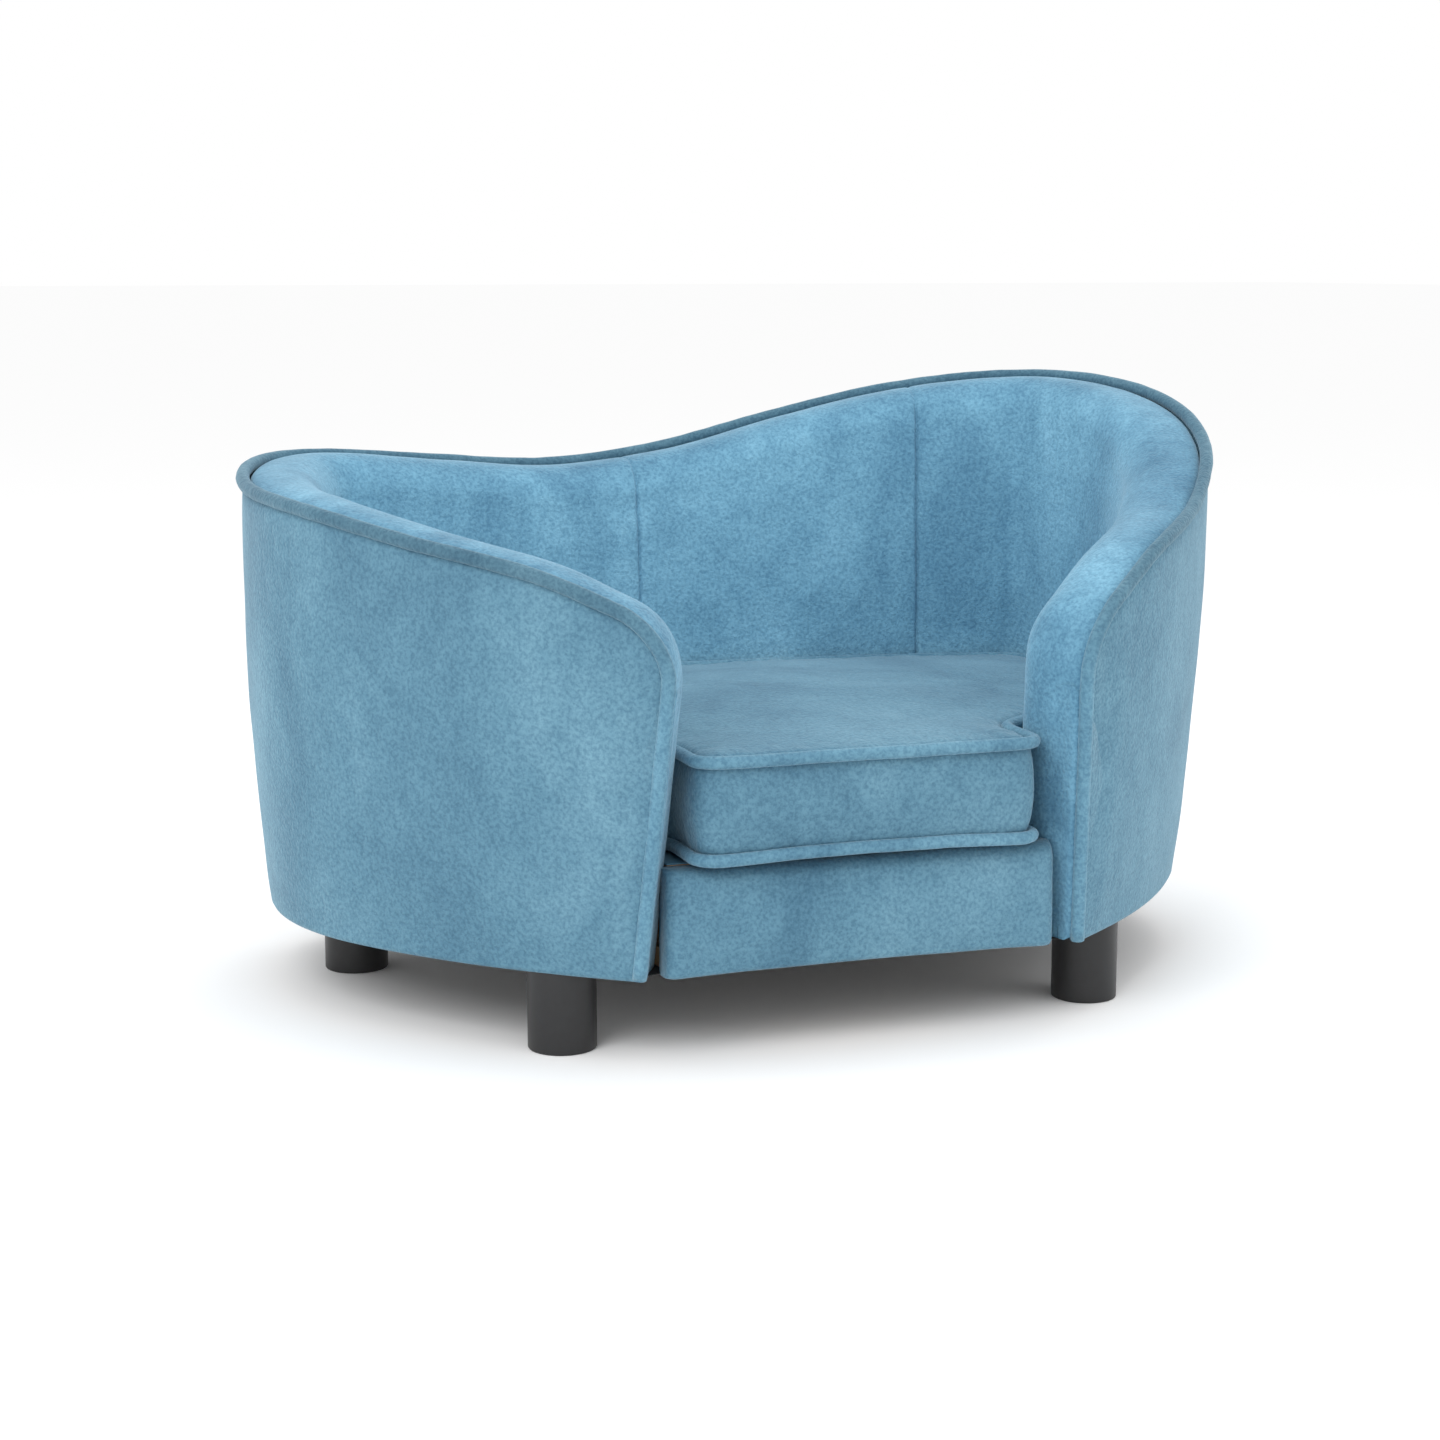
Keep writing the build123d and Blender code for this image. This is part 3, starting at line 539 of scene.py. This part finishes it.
def front_rail():
    """Padded rail between the arms, rounded at its ends and along its edges."""
    rings = []
    xs = [rail_half_front * math.sin(math.pi / 2 * t) for t in np.linspace(-1, 1, 81)]
    round_end, round_top, round_low, front_bulge, front_arch = 8.0, 10.0, 5.0, 2.6, 2.4
    for x in xs:
        over = max(abs(x) - (rail_half_front - round_end), 0)
        pull = round_end - math.sqrt(max(round_end**2 - over**2, 0))
        front = rail_front - pull
        arch = front_arch * (1 - (x / rail_half_front) ** 2)
        low, top = base_height + 0.4 + arch * 0.8, rail_top - 0.4
        ring = [(x, -rail_back, low), (x, -rail_back, top)]
        for i in range(9):
            a = math.pi / 2 * i / 8
            ring.append((x, -front + round_top * (1 - math.sin(a)), top - round_top * (1 - math.cos(a))))
        for i in range(1, 16):
            t = i / 16
            z = top - round_top + (low + round_low - top + round_top) * t
            bulge = front_bulge * math.sin(math.pi * t) * (1 - (x / rail_half_front) ** 6)
            ring.append((x, -front - bulge, z))
        for i in range(7):
            a = math.pi / 2 * i / 6
            ring.append((x, -front + round_low * (1 - math.cos(a)), low + round_low * (1 - math.sin(a))))
        rings.append(ring)
    obj = tube("front_rail_pad", rings)
    displace(obj, lambda p: lumps(p, rail_lumps) if p[1] < -186 else 0.0)
    return obj


# Cushion.

def cushion_arcs(inset):
    """Half the cushion's plan, from its front: lines by length, arcs by radius and end heading."""
    ear, front_turn, side_turn, corner_turn, last = [math.radians(a) for a in cushion_headings]
    half = cushion_half_front - inset
    corner = max(cushion_front_radius - inset, cushion_least_radius)
    side = cushion_side_radius - inset
    diagonal = cushion_diagonal_radius - inset
    rear = cushion_rear_radius - inset
    hollow = cushion_hollow_radius + inset
    x_side = cushion_half_width - cushion_side_radius
    x = x_side + side * math.sin(front_turn) - diagonal * (math.sin(front_turn) - math.sin(ear))
    x_hollow = half + hollow * (1 - math.sin(ear))
    y = cushion_side_centre - side * math.cos(front_turn)
    y -= diagonal * (math.cos(ear) - math.cos(front_turn))
    run = (x - x_hollow) / math.cos(ear)
    neck = y - run * math.sin(ear) - hollow * math.cos(ear)
    front = -(cushion_front - inset)
    return [
        ("line", half - corner), ("arc", corner, math.pi / 2), ("line", neck - front - corner),
        ("arc", -hollow, ear), ("line", run), ("arc", diagonal, front_turn),
        ("arc", side, side_turn), ("arc", rear, corner_turn), ("arc", None, last),
    ]


# Points along each line and arc of the cushion's plan.
run_steps = (12, 8, 4, 6, 7, 14, 18, 9, 26)


def cushion_outline(inset):
    """Closed plan of the cushion as points, `inset` inside its widest outline."""
    x, y, heading = 0.0, inset - cushion_front, 0.0
    points = [(x, y)]
    for (kind, size, *turn), count in zip(cushion_arcs(inset), run_steps):
        if kind == "line":
            for i in range(1, count + 1):
                points.append((x + size * math.cos(heading) * i / count,
                               y + size * math.sin(heading) * i / count))
            x, y = points[-1]
            continue
        radius = x / math.sin(heading) if size is None else size
        for i in range(1, count + 1):
            now = heading + (turn[0] - heading) * i / count
            points.append((x + radius * (math.sin(now) - math.sin(heading)),
                           y + radius * (math.cos(heading) - math.cos(now))))
        x, y = points[-1]
        heading = turn[0]
    left = [(-px, py) for px, py in reversed(points[1:-1])]
    return points + left


def outline_distance(points, outline):
    """Distance inside an outline and the nearest place on it, for many plan points."""
    ring = np.array(outline)
    a, b = ring, np.roll(ring, -1, axis=0)
    d = b - a
    best = np.full(len(points), 1e9)
    inside = np.zeros(len(points))
    place = np.zeros(len(points))
    foot = np.zeros((len(points), 2))
    length = 0.0
    for i in range(len(a)):
        size = np.hypot(*d[i])
        t = np.clip(((points - a[i]) @ d[i]) / size**2, 0, 1)
        q = a[i] + t[:, None] * d[i]
        r = np.hypot(*(points - q).T)
        turn = d[i][0] * (points[:, 1] - a[i][1]) - d[i][1] * (points[:, 0] - a[i][0])
        near = r < best - 1e-9
        best[near] = r[near]
        inside[near] = np.where(turn[near] >= 0, 1, -1)
        place[near] = length + t[near] * size
        foot[near] = q[near]
        length += size
    return best * inside, place, foot


def cushion_start():
    """Closed starting form of the cushion, a little smaller than its room."""
    levels = [(cushion_bottom + rise, inset) for rise, inset in cushion_under_edge]
    levels.append((cushion_low, cushion_draw))
    for i in range(1, 8):
        t = i / 8
        levels.append((cushion_low + (cushion_high - cushion_low) * t,
                       cushion_draw - cushion_side_swell * 4 * t * (1 - t)))
    levels.append((cushion_high, cushion_draw))
    for share in (0.3, 0.55, 0.8, 1.0):
        turn = math.pi / 2 * share
        levels.append((cushion_high + cushion_top_rise * math.sin(turn),
                       cushion_draw + cushion_top_inset * (1 - math.cos(turn))))
    rings = [[(x, y, z) for x, y in cushion_outline(inset)] for z, inset in levels]
    top, edge = levels[-1][0], rings[-1]
    for share in (0.86, 0.7, 0.52, 0.34, 0.16):
        rise = cushion_dome_rise * (1 - share**2)
        rings.append([(x * share, cushion_dome_middle + (y - cushion_dome_middle) * share, top + rise)
                      for x, y, z in edge])
    return tube("cushion_body", rings)


def cushion_body():
    """Box cushion, blown up as cloth between its sewn edges."""
    obj = cushion_start()
    remesh(obj)
    inflate(obj)
    subdivide(obj)
    finish_cushion(obj)
    return obj


def remesh(obj):
    """Even quads all over the cushion."""
    bpy.context.view_layer.objects.active = obj
    obj.select_set(True)
    even = obj.modifiers.new("even", "REMESH")
    even.mode = "VOXEL"
    even.voxel_size = cushion_voxel * MM
    bpy.ops.object.modifier_apply(modifier="even")


def inflate(obj):
    """Blows the cushion up as cloth, held along its two sewn edges and where the zip is."""
    start = np.array([v.co for v in obj.data.vertices]) / MM
    inside, _, _ = outline_distance(start[:, :2], cushion_outline(cushion_draw))
    height = start[:, 2]
    at_seam = (np.abs(height - cushion_low) < sewn_height) | (np.abs(height - cushion_high) < sewn_height)
    edge = (np.abs(inside) < sewn_width) & at_seam
    back = (np.abs(start[:, 0]) < zip_half_span + zip_hold) & (start[:, 1] > 100) & (
        np.abs(height - zip_middle) < zip_hold)
    bottom = height < cushion_bottom + bottom_hold
    held = obj.vertex_groups.new(name="held")
    for i in np.nonzero(edge | back | bottom)[0]:
        held.add([int(i)], 1.0, "REPLACE")
    cloth = obj.modifiers.new("cloth", "CLOTH")
    cloth.settings.quality = 6
    cloth.settings.mass = 0.25
    cloth.settings.tension_stiffness = 12
    cloth.settings.compression_stiffness = 6
    cloth.settings.shear_stiffness = 5
    cloth.settings.bending_stiffness = 0.6
    cloth.settings.use_pressure = True
    cloth.settings.uniform_pressure_force = 4.0
    cloth.settings.effector_weights.gravity = 0
    cloth.settings.vertex_group_mass = "held"
    cloth.collision_settings.use_collision = False
    last_frame = 20
    cloth.point_cache.frame_start = 1
    cloth.point_cache.frame_end = last_frame
    scene = bpy.context.scene
    for now in range(1, last_frame + 1):
        scene.frame_set(now)
    bpy.ops.object.modifier_apply(modifier="cloth")
    scene.frame_set(1)
    end = np.array([v.co for v in obj.data.vertices]) / MM
    move = end - start
    size = np.linalg.norm(move, axis=1)
    scale = np.where(size > cushion_swell_limit, cushion_swell_limit / np.maximum(size, 1e-6), 1.0)
    end = start + move * scale[:, None]
    obj.data.vertices.foreach_set("co", (end * MM).ravel())
    obj.vertex_groups.clear()
    obj.data.polygons.foreach_set("use_smooth", [True] * len(obj.data.polygons))
    obj.data.update()


def subdivide(obj):
    """One level of smooth subdivision."""
    bpy.context.view_layer.objects.active = obj
    obj.select_set(True)
    smooth = obj.modifiers.new("smooth", "SUBSURF")
    smooth.levels = 1
    smooth.render_levels = 1
    bpy.ops.object.modifier_apply(modifier="smooth")
    obj.data.polygons.foreach_set("use_smooth", [True] * len(obj.data.polygons))


def finish_cushion(obj):
    """Puckers at the sewn edges, then the cushion is kept inside its room."""
    co = np.array([v.co for v in obj.data.vertices]) / MM
    normal = np.array([v.normal for v in obj.data.vertices])
    inside, place, _ = outline_distance(co[:, :2], cushion_outline(0.0))
    near = np.minimum(np.abs(co[:, 2] - cushion_low), np.abs(co[:, 2] - cushion_high))
    near_seam = np.exp(-((near / cushion_pucker_reach) ** 2)) * (inside < 2 * cushion_pucker_reach)
    pucker = np.array([noise.noise(Vector((s / 9.0, z / 60.0, 4.0))) for s, z in zip(place, co[:, 2])])
    lumpy = np.array([lumps(p, cushion_lumps) for p in co])
    free = co[:, 2] > cushion_bottom + 2
    amount = (cushion_pucker * pucker * near_seam + cushion_lump_share * lumpy) * free
    co += normal * amount[:, None]
    inside, _, foot = outline_distance(co[:, :2], cushion_outline(0.0))
    at_zip = (co[:, 1] > 100) & (np.abs(co[:, 0]) < zip_half_span + 4)
    zip_room = np.where(np.abs(co[:, 2] - zip_middle) < 9, cushion_room_zip, cushion_room_back)
    own_room = np.where(co[:, 1] < -150, cushion_room_front, cushion_room_side)
    room = np.where(at_zip, zip_room, own_room)
    out = inside < room
    away = co[:, :2] - foot
    size = np.hypot(*away.T)
    sign = np.where(inside >= 0, 1, -1)
    unit = away / np.maximum(size, 1e-6)[:, None] * sign[:, None]
    co[out, :2] = foot[out] + unit[out] * room[out][:, None]
    co[:, 2] = np.maximum(co[:, 2], cushion_bottom)
    obj.data.vertices.foreach_set("co", (co * MM).ravel())
    obj.data.update()


def cushion_piping(name, z, arch):
    """Cord round the cushion at height z, arched up by `arch` along the front."""
    plan = cushion_outline(cushion_piping_radius + 1.2)
    path = []
    outward = []
    n = len(plan)
    for i, (x, y) in enumerate(plan):
        lift = arch * math.exp(-((x / 80) ** 4)) if y < -150 else 0.0
        path.append((x, y, z + lift + lumps((x, y, z), cushion_piping_sway)))
        ax, ay = plan[(i + 1) % n][0] - plan[i - 1][0], plan[(i + 1) % n][1] - plan[i - 1][1]
        outward.append(np.array((ay, -ax, 0.0)))
    obj = cord_tube(name, path, cushion_piping_radius, 14, True, outward)
    displace(obj, lambda p: lumps(p, cushion_piping_lumps))
    return obj


# Zip, cloths and legs.

def zip_strip():
    """Woven tape with two rows of teeth across the back of the cushion."""
    tape_half, tape_thick, tape_pieces = 7, 0.8, 24
    teeth, tooth_short, tooth_long, end_room = 84, 0.7, 1.9, 6
    points, faces = [], []

    def block(a0, a1, r0, r1, z0, z1):
        start = len(points)
        for r in (r0, r1):
            for a in (a0, a1):
                for z in (z0, z1):
                    points.append((r * math.cos(a), zip_centre + r * math.sin(a), z))
        for f in ((0, 1, 3, 2), (4, 6, 7, 5), (0, 4, 5, 1), (2, 3, 7, 6), (0, 2, 6, 4), (1, 5, 7, 3)):
            faces.append(tuple(start + i for i in f))

    turn = zip_half_span / zip_inner
    face = zip_inner + tape_thick
    for i in range(tape_pieces):
        a = math.pi / 2 - turn + 2 * turn * i / tape_pieces
        block(a, a + 2 * turn / tape_pieces, zip_inner, face, zip_middle - tape_half, zip_middle + tape_half)
    reach = (zip_half_span - end_room) / zip_inner
    for i in range(teeth):
        a = math.pi / 2 - reach + 2 * reach * i / teeth
        low, high = (-tooth_long, tooth_short) if i % 2 else (-tooth_short, tooth_long)
        block(a, a + 1.5 * reach / teeth, face, face + tape_thick, zip_middle + low, zip_middle + high)
    mesh = bpy.data.meshes.new("zip_strip")
    mesh.from_pydata([tuple(c * MM for c in p) for p in points], [], faces)
    obj = bpy.data.objects.new("zip_strip", mesh)
    bpy.context.scene.collection.objects.link(obj)
    return obj


def flat_sheet(name, plan, z, thick):
    """Sheet over a plan, with its area and its width and depth in metres."""
    rings = [[(x, y, z) for x, y in plan], [(x, y, z + thick) for x, y in plan]]
    obj = tube(name, rings)
    obj.data.polygons.foreach_set("use_smooth", [False] * len(obj.data.polygons))
    area = 0.0
    for (x0, y0), (x1, y1) in zip(plan, plan[1:] + plan[:1]):
        area += (x0 * y1 - x1 * y0) / 2
    xs, ys = [p[0] for p in plan], [p[1] for p in plan]
    return obj, abs(area) * MM * MM, ((max(xs) - min(xs)) * MM, (max(ys) - min(ys)) * MM)


def base_plan(inward, z):
    """Plan inside the wall, straight at the front, and at least 5 mm within the wall's inner face."""
    plan = []
    for w in whole_run(spaced(4.0, HALF_LENGTH, 12.0)):
        wall = thickness(from_front(w)[1])
        plan.append(wall_point(w, min(inward, wall - 5.0), z)[:2])
    return plan + [(124.0, -rail_back + 0.3), (-124.0, -rail_back + 0.3)]


def leg(name, spot):
    """Turned leg under a spot of the base, with its edges broken."""
    profile = [(0.0, 0.0), (leg_radius - 1.4, 0.0), (leg_radius - 0.5, 0.25), (leg_radius, 1.1),
               (leg_radius, leg_top - 0.6), (leg_radius - 0.6, leg_top), (0.0, leg_top)]
    sides = 72
    rings = []
    for r, z in profile:
        r = max(r, leg_least_radius)
        turns = [2 * math.pi * j / sides for j in range(sides)]
        rings.append([(spot[0] + r * math.cos(a), spot[1] + r * math.sin(a), z) for a in turns])
    obj = tube(name + "_turned", rings)
    normals = obj.modifiers.new("normals", "WEIGHTED_NORMAL")
    normals.keep_sharp = True
    return obj


# Materials. The plush's dark, middle and light tones are linear colours; the others multiply them. Its painted
# shade, darker towards the top of the rim, sets in between rim_heights, in metres.

plush_tones = ((0.104, 0.240, 0.345), (0.148, 0.318, 0.432), (0.198, 0.392, 0.512))
fleck_dark = (0.91, 0.93, 0.945)
grain_dark = (0.70, 0.75, 0.79)
grain_light = (1.06, 1.05, 1.04)
# Painted shade of the rolled top and the arm fronts.
nap_shade_dark = (0.46, 0.54, 0.60)
rim_heights = (0.22, 0.29)
white = (1.0, 1.0, 1.0)


def new_material(name):
    """Material with its node tree and its shader."""
    material = bpy.data.materials.new(name)
    material.use_nodes = True
    tree = material.node_tree
    shader = tree.nodes["Principled BSDF"]
    return material, tree, shader


def noise_node(tree, source, scale, detail, rough=0.5):
    """Noise over the coordinates of the source."""
    node = tree.nodes.new("ShaderNodeTexNoise")
    node.inputs["Scale"].default_value = scale
    node.inputs["Detail"].default_value = detail
    node.inputs["Roughness"].default_value = rough
    tree.links.new(source, node.inputs["Vector"])
    return node


def ramp_node(tree, source, stops):
    """Colours at stops along the source's value."""
    node = tree.nodes.new("ShaderNodeValToRGB")
    while len(node.color_ramp.elements) < len(stops):
        node.color_ramp.elements.new(0.5)
    for element, (place, colour) in zip(node.color_ramp.elements, stops):
        element.position = place
        element.color = (*colour, 1.0)
    tree.links.new(source, node.inputs["Fac"])
    return node


def multiply(tree, first, second):
    """Product of two colours."""
    node = tree.nodes.new("ShaderNodeMix")
    node.data_type = "RGBA"
    node.blend_type = "MULTIPLY"
    node.inputs["Factor"].default_value = 1.0
    tree.links.new(first, node.inputs["A"])
    tree.links.new(second, node.inputs["B"])
    return node.outputs["Result"]


def bump_node(tree, source, strength, distance):
    """Relief from the source's value."""
    node = tree.nodes.new("ShaderNodeBump")
    node.inputs["Strength"].default_value = strength
    node.inputs["Distance"].default_value = distance
    tree.links.new(source, node.inputs["Height"])
    return node


def plush(name, shade=1.0, top_shade=1.0, rolled=False):
    """Short-pile plush: brushed patches of pile, soft clouding and a fine grain of pile.

    shade scales all its tones, so each copy carries its own painted light and shade. top_shade paints shade up at
    the rim, darker towards the top. rolled adds painted shade where the mesh marks it, over the rolled top and on
    the arm fronts, where the pile lies over.
    """
    material, tree, shader = new_material(name)
    place = tree.nodes.new("ShaderNodeTexCoord").outputs["Object"]
    brushed = tree.nodes.new("ShaderNodeMapping")
    brushed.inputs["Scale"].default_value = (1.0, 1.0, 0.62)
    tree.links.new(place, brushed.inputs["Vector"])
    patches = noise_node(tree, brushed.outputs["Vector"], 10.0, 7.0, 0.62)
    patches.inputs["Distortion"].default_value = 0.5
    # Painted light and shade: shade scales every tone of this copy.
    dark, mid, light = [tuple(c * shade for c in tone) for tone in plush_tones]
    base = ramp_node(tree, patches.outputs["Fac"], ((0.34, dark), (0.50, mid), (0.68, light)))
    flecks = noise_node(tree, place, 105.0, 4.0, 0.7)
    fleck_tone = ramp_node(tree, flecks.outputs["Fac"], ((0.36, fleck_dark), (0.56, white)))
    flecked = multiply(tree, base.outputs["Color"], fleck_tone.outputs["Color"])
    grain = noise_node(tree, place, 430.0, 2.0, 0.6)
    grain_tone = ramp_node(tree, grain.outputs["Fac"], ((0.34, grain_dark), (0.62, grain_light)))
    final = multiply(tree, flecked, grain_tone.outputs["Color"])
    # Painted shade over the rolled top and the arm fronts, where the mesh marks the pile as lying over.
    if rolled:
        nap_shade = tree.nodes.new("ShaderNodeAttribute")
        nap_shade.attribute_name = "nap_shade"
        spread = noise_node(tree, place, 14.0, 6.0, 0.65)
        strength = ramp_node(tree, spread.outputs["Fac"], ((0.34, white), (0.62, (0.25,) * 3)))
        nap_shade_mask = tree.nodes.new("ShaderNodeSeparateXYZ")
        tree.links.new(multiply(tree, nap_shade.outputs["Color"], strength.outputs["Color"]), nap_shade_mask.inputs["Vector"])
        nap_shade_tone = ramp_node(tree, nap_shade_mask.outputs["X"], ((0.0, white), (1.0, nap_shade_dark)))
        final = multiply(tree, final, nap_shade_tone.outputs["Color"])
    # Painted shade: darker towards the top, between the two rim_heights.
    if top_shade != 1.0:
        parts = tree.nodes.new("ShaderNodeSeparateXYZ")
        tree.links.new(place, parts.inputs["Vector"])
        low, high = rim_heights
        tops = ramp_node(tree, parts.outputs["Z"], ((low, white), (high, (top_shade,) * 3)))
        final = multiply(tree, final, tops.outputs["Color"])
    tree.links.new(final, shader.inputs["Base Color"])
    shader.inputs["Roughness"].default_value = 0.9
    shader.inputs["Specular IOR Level"].default_value = 0.15
    shader.inputs["Sheen Weight"].default_value = 0.45
    shader.inputs["Sheen Roughness"].default_value = 0.4
    shader.inputs["Sheen Tint"].default_value = (0.66, 0.88, 1.0, 1.0)
    fine = bump_node(tree, grain.outputs["Fac"], 0.6, 0.0012)
    broad = bump_node(tree, flecks.outputs["Fac"], 0.3, 0.003)
    tree.links.new(fine.outputs["Normal"], broad.inputs["Normal"])
    tree.links.new(broad.outputs["Normal"], shader.inputs["Normal"])
    return material


def plain(name, colour, rough, scale, depth, metal=0.0):
    """Plain surface with a little grain in colour and relief."""
    material, tree, shader = new_material(name)
    place = tree.nodes.new("ShaderNodeTexCoord").outputs["Object"]
    grain = noise_node(tree, place, scale, 4.0, 0.6)
    low = tuple(c * 0.82 for c in colour)
    tone = ramp_node(tree, grain.outputs["Fac"], ((0.35, low), (0.65, colour)))
    tree.links.new(tone.outputs["Color"], shader.inputs["Base Color"])
    shader.inputs["Roughness"].default_value = rough
    shader.inputs["Metallic"].default_value = metal
    bump = bump_node(tree, grain.outputs["Fac"], 0.3, depth)
    tree.links.new(bump.outputs["Normal"], shader.inputs["Normal"])
    return material


def wood(name):
    """Plywood with long grain."""
    material, tree, shader = new_material(name)
    place = tree.nodes.new("ShaderNodeTexCoord").outputs["Object"]
    stretch = tree.nodes.new("ShaderNodeMapping")
    stretch.inputs["Scale"].default_value = (12.0, 90.0, 90.0)
    tree.links.new(place, stretch.inputs["Vector"])
    grain = noise_node(tree, stretch.outputs["Vector"], 1.0, 6.0, 0.65)
    tone = ramp_node(tree, grain.outputs["Fac"], ((0.3, (0.36, 0.21, 0.10)), (0.7, (0.60, 0.42, 0.24))))
    tree.links.new(tone.outputs["Color"], shader.inputs["Base Color"])
    shader.inputs["Roughness"].default_value = 0.6
    return material


def paint(obj, material):
    """Gives the object this material alone."""
    obj.data.materials.clear()
    obj.data.materials.append(material)


def dress():
    """Builds the pieces, rides each on its body and says what it replaces."""
    # One plush in five copies whose shade scales its tones, as painted light and shade: the inner pads are
    # brightened as lit, while the outer wall and rail, the seat, the rim piping and the cushion piping are
    # darkened as shaded.
    wall_plush = plush("plush_wall_shaded", 0.77)
    pad_plush = plush("plush_pad_lit", 1.28, rolled=True)
    seat_plush = plush("plush_seat_shaded", 0.75)
    trim_plush = plush("plush_trim_shaded", 0.88, 0.62)
    edge_plush = plush("plush_edge_shaded", 0.84)
    lacquer = plain("leg_lacquer", (0.013, 0.013, 0.014), 0.42, 160.0, 0.0001)
    steel = plain("zinc_steel", (0.55, 0.56, 0.58), 0.35, 300.0, 0.0001, 1.0)
    zip_paint = plain("zip_paint", (0.10, 0.25, 0.36), 0.4, 300.0, 0.0001)
    zip_cloth = plain("zip_cloth", (0.09, 0.22, 0.33), 0.8, 1200.0, 0.0003)
    lining = plain("lining_cloth", (0.12, 0.27, 0.38), 0.9, 1100.0, 0.0004)
    dust = plain("dust_cloth_black", (0.02, 0.02, 0.021), 0.9, 900.0, 0.0004)
    foam = plain("foam_cream", (0.72, 0.62, 0.40), 0.9, 500.0, 0.0008)
    ply = wood("plywood")

    for name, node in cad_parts.items():
        if any(word in name for word in ("bolt", "nut", "screw")):
            paint(node, steel)
        elif name == "zip_slider":
            paint(node, zip_paint)
        elif any(word in name for word in ("foam", "wadding", "core")):
            paint(node, foam)
        else:
            paint(node, ply)

    def add(obj, body, material, nodes):
        paint(obj, material)
        obj.data.transform(Matrix.Translation((0, -origin_back * MM, 0)))
        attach(obj, body)
        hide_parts(*nodes)

    def add_sheet(parts, material, node):
        sheet, area, flat = parts
        add(sheet, "sofa", material, [node])

    waddings = ["left_outer_wadding", "back_outer_wadding", "right_outer_wadding"]
    add(outer_cover(), "sofa", wall_plush, ["outer_cover"] + waddings)
    add(rim_piping(), "sofa", trim_plush, ["rim_piping"])
    inner_nodes = [part + layer for part in ("left", "back", "right")
                   for layer in ("_inner_cover", "_wall_foam")]
    add(inner_cover(), "sofa", pad_plush, inner_nodes)
    add(front_rail(), "sofa", wall_plush, ["front_rail_cover", "front_rail_foam"])
    add(cushion_body(), "cushion", seat_plush, ["cushion_cover", "cushion_core"])
    add(cushion_piping("cushion_piping_low", cushion_low, 2.0), "cushion", edge_plush,
        ["cushion_bottom_piping"])
    add(cushion_piping("cushion_piping_high", cushion_high, 0.0), "cushion", edge_plush,
        ["cushion_top_piping"])
    add(zip_strip(), "cushion", zip_cloth, ["cushion_zip"])
    for row, (run, inset) in leg_runs.items():
        for side, w in (("left", run), ("right", WALL_LENGTH - run)):
            name = row + "_" + side + "_leg"
            spot = wall_point(w, inset, base_height)
            add(leg(name, spot), "sofa", lacquer, [name])

    add_sheet(flat_sheet("deck_lining", base_plan(50.0, floor_top), 120.1, 0.9), lining,
              "deck_cloth")
    add_sheet(flat_sheet("dust_sheet", base_plan(8.3, 53.3), 53.2, 0.5), dust,
              "dust_cloth")


# Studio: each light's name, place, aim, size in metres and power in watts, and the camera.
lights = (
    ("key", (-1.5, -1.4, 1.7), (0.0, 0.0, 0.2), 1.3, 23.0),
    ("fill", (1.9, -1.3, 1.1), (0.0, 0.0, 0.2), 1.6, 8.0),
    ("top", (0.3, 0.3, 2.2), (0.0, 0.0, 0.2), 1.4, 10.0),
)
camera_place = (-0.5996, -1.6744, 0.4831)
camera_aim = (-0.0573, -0.0900, 0.1905)
camera_lens = 65.84


def facing(place, aim):
    """Rotation that points a lamp or camera at its aim."""
    return (Vector(aim) - Vector(place)).to_track_quat("-Z", "Y").to_euler()


def studio():
    """Pale floor, soft lights and the camera."""
    scene = bpy.context.scene
    scene.view_settings.view_transform = "Standard"
    world = bpy.data.worlds.new("studio")
    scene.world = world
    world.use_nodes = True
    world.node_tree.nodes["Background"].inputs["Color"].default_value = (1.0, 1.0, 1.0, 1.0)
    world.node_tree.nodes["Background"].inputs["Strength"].default_value = 1.0

    bpy.ops.mesh.primitive_plane_add(size=60, location=(0, 20.0, 0))
    floor = bpy.context.object
    floor.name = "floor"
    material, _, shader = new_material("floor_pale")
    shader.inputs["Base Color"].default_value = (0.97, 0.97, 0.97, 1.0)
    shader.inputs["Roughness"].default_value = 1.0
    shader.inputs["Specular IOR Level"].default_value = 0.0
    paint(floor, material)

    for name, place, aim, size, power in lights:
        light = bpy.data.lights.new(name, "AREA")
        light.size = size
        light.energy = power
        lamp = bpy.data.objects.new(name, light)
        lamp.location = place
        lamp.rotation_euler = facing(place, aim)
        scene.collection.objects.link(lamp)

    camera = bpy.data.cameras.new("camera")
    camera.sensor_width = 36.0
    camera.sensor_fit = "HORIZONTAL"
    camera.lens = camera_lens
    camera.clip_start = 0.05
    eye = bpy.data.objects.new("camera", camera)
    eye.location = camera_place
    eye.rotation_euler = facing(camera_place, camera_aim)
    scene.collection.objects.link(eye)
    scene.camera = eye


dress()
studio()
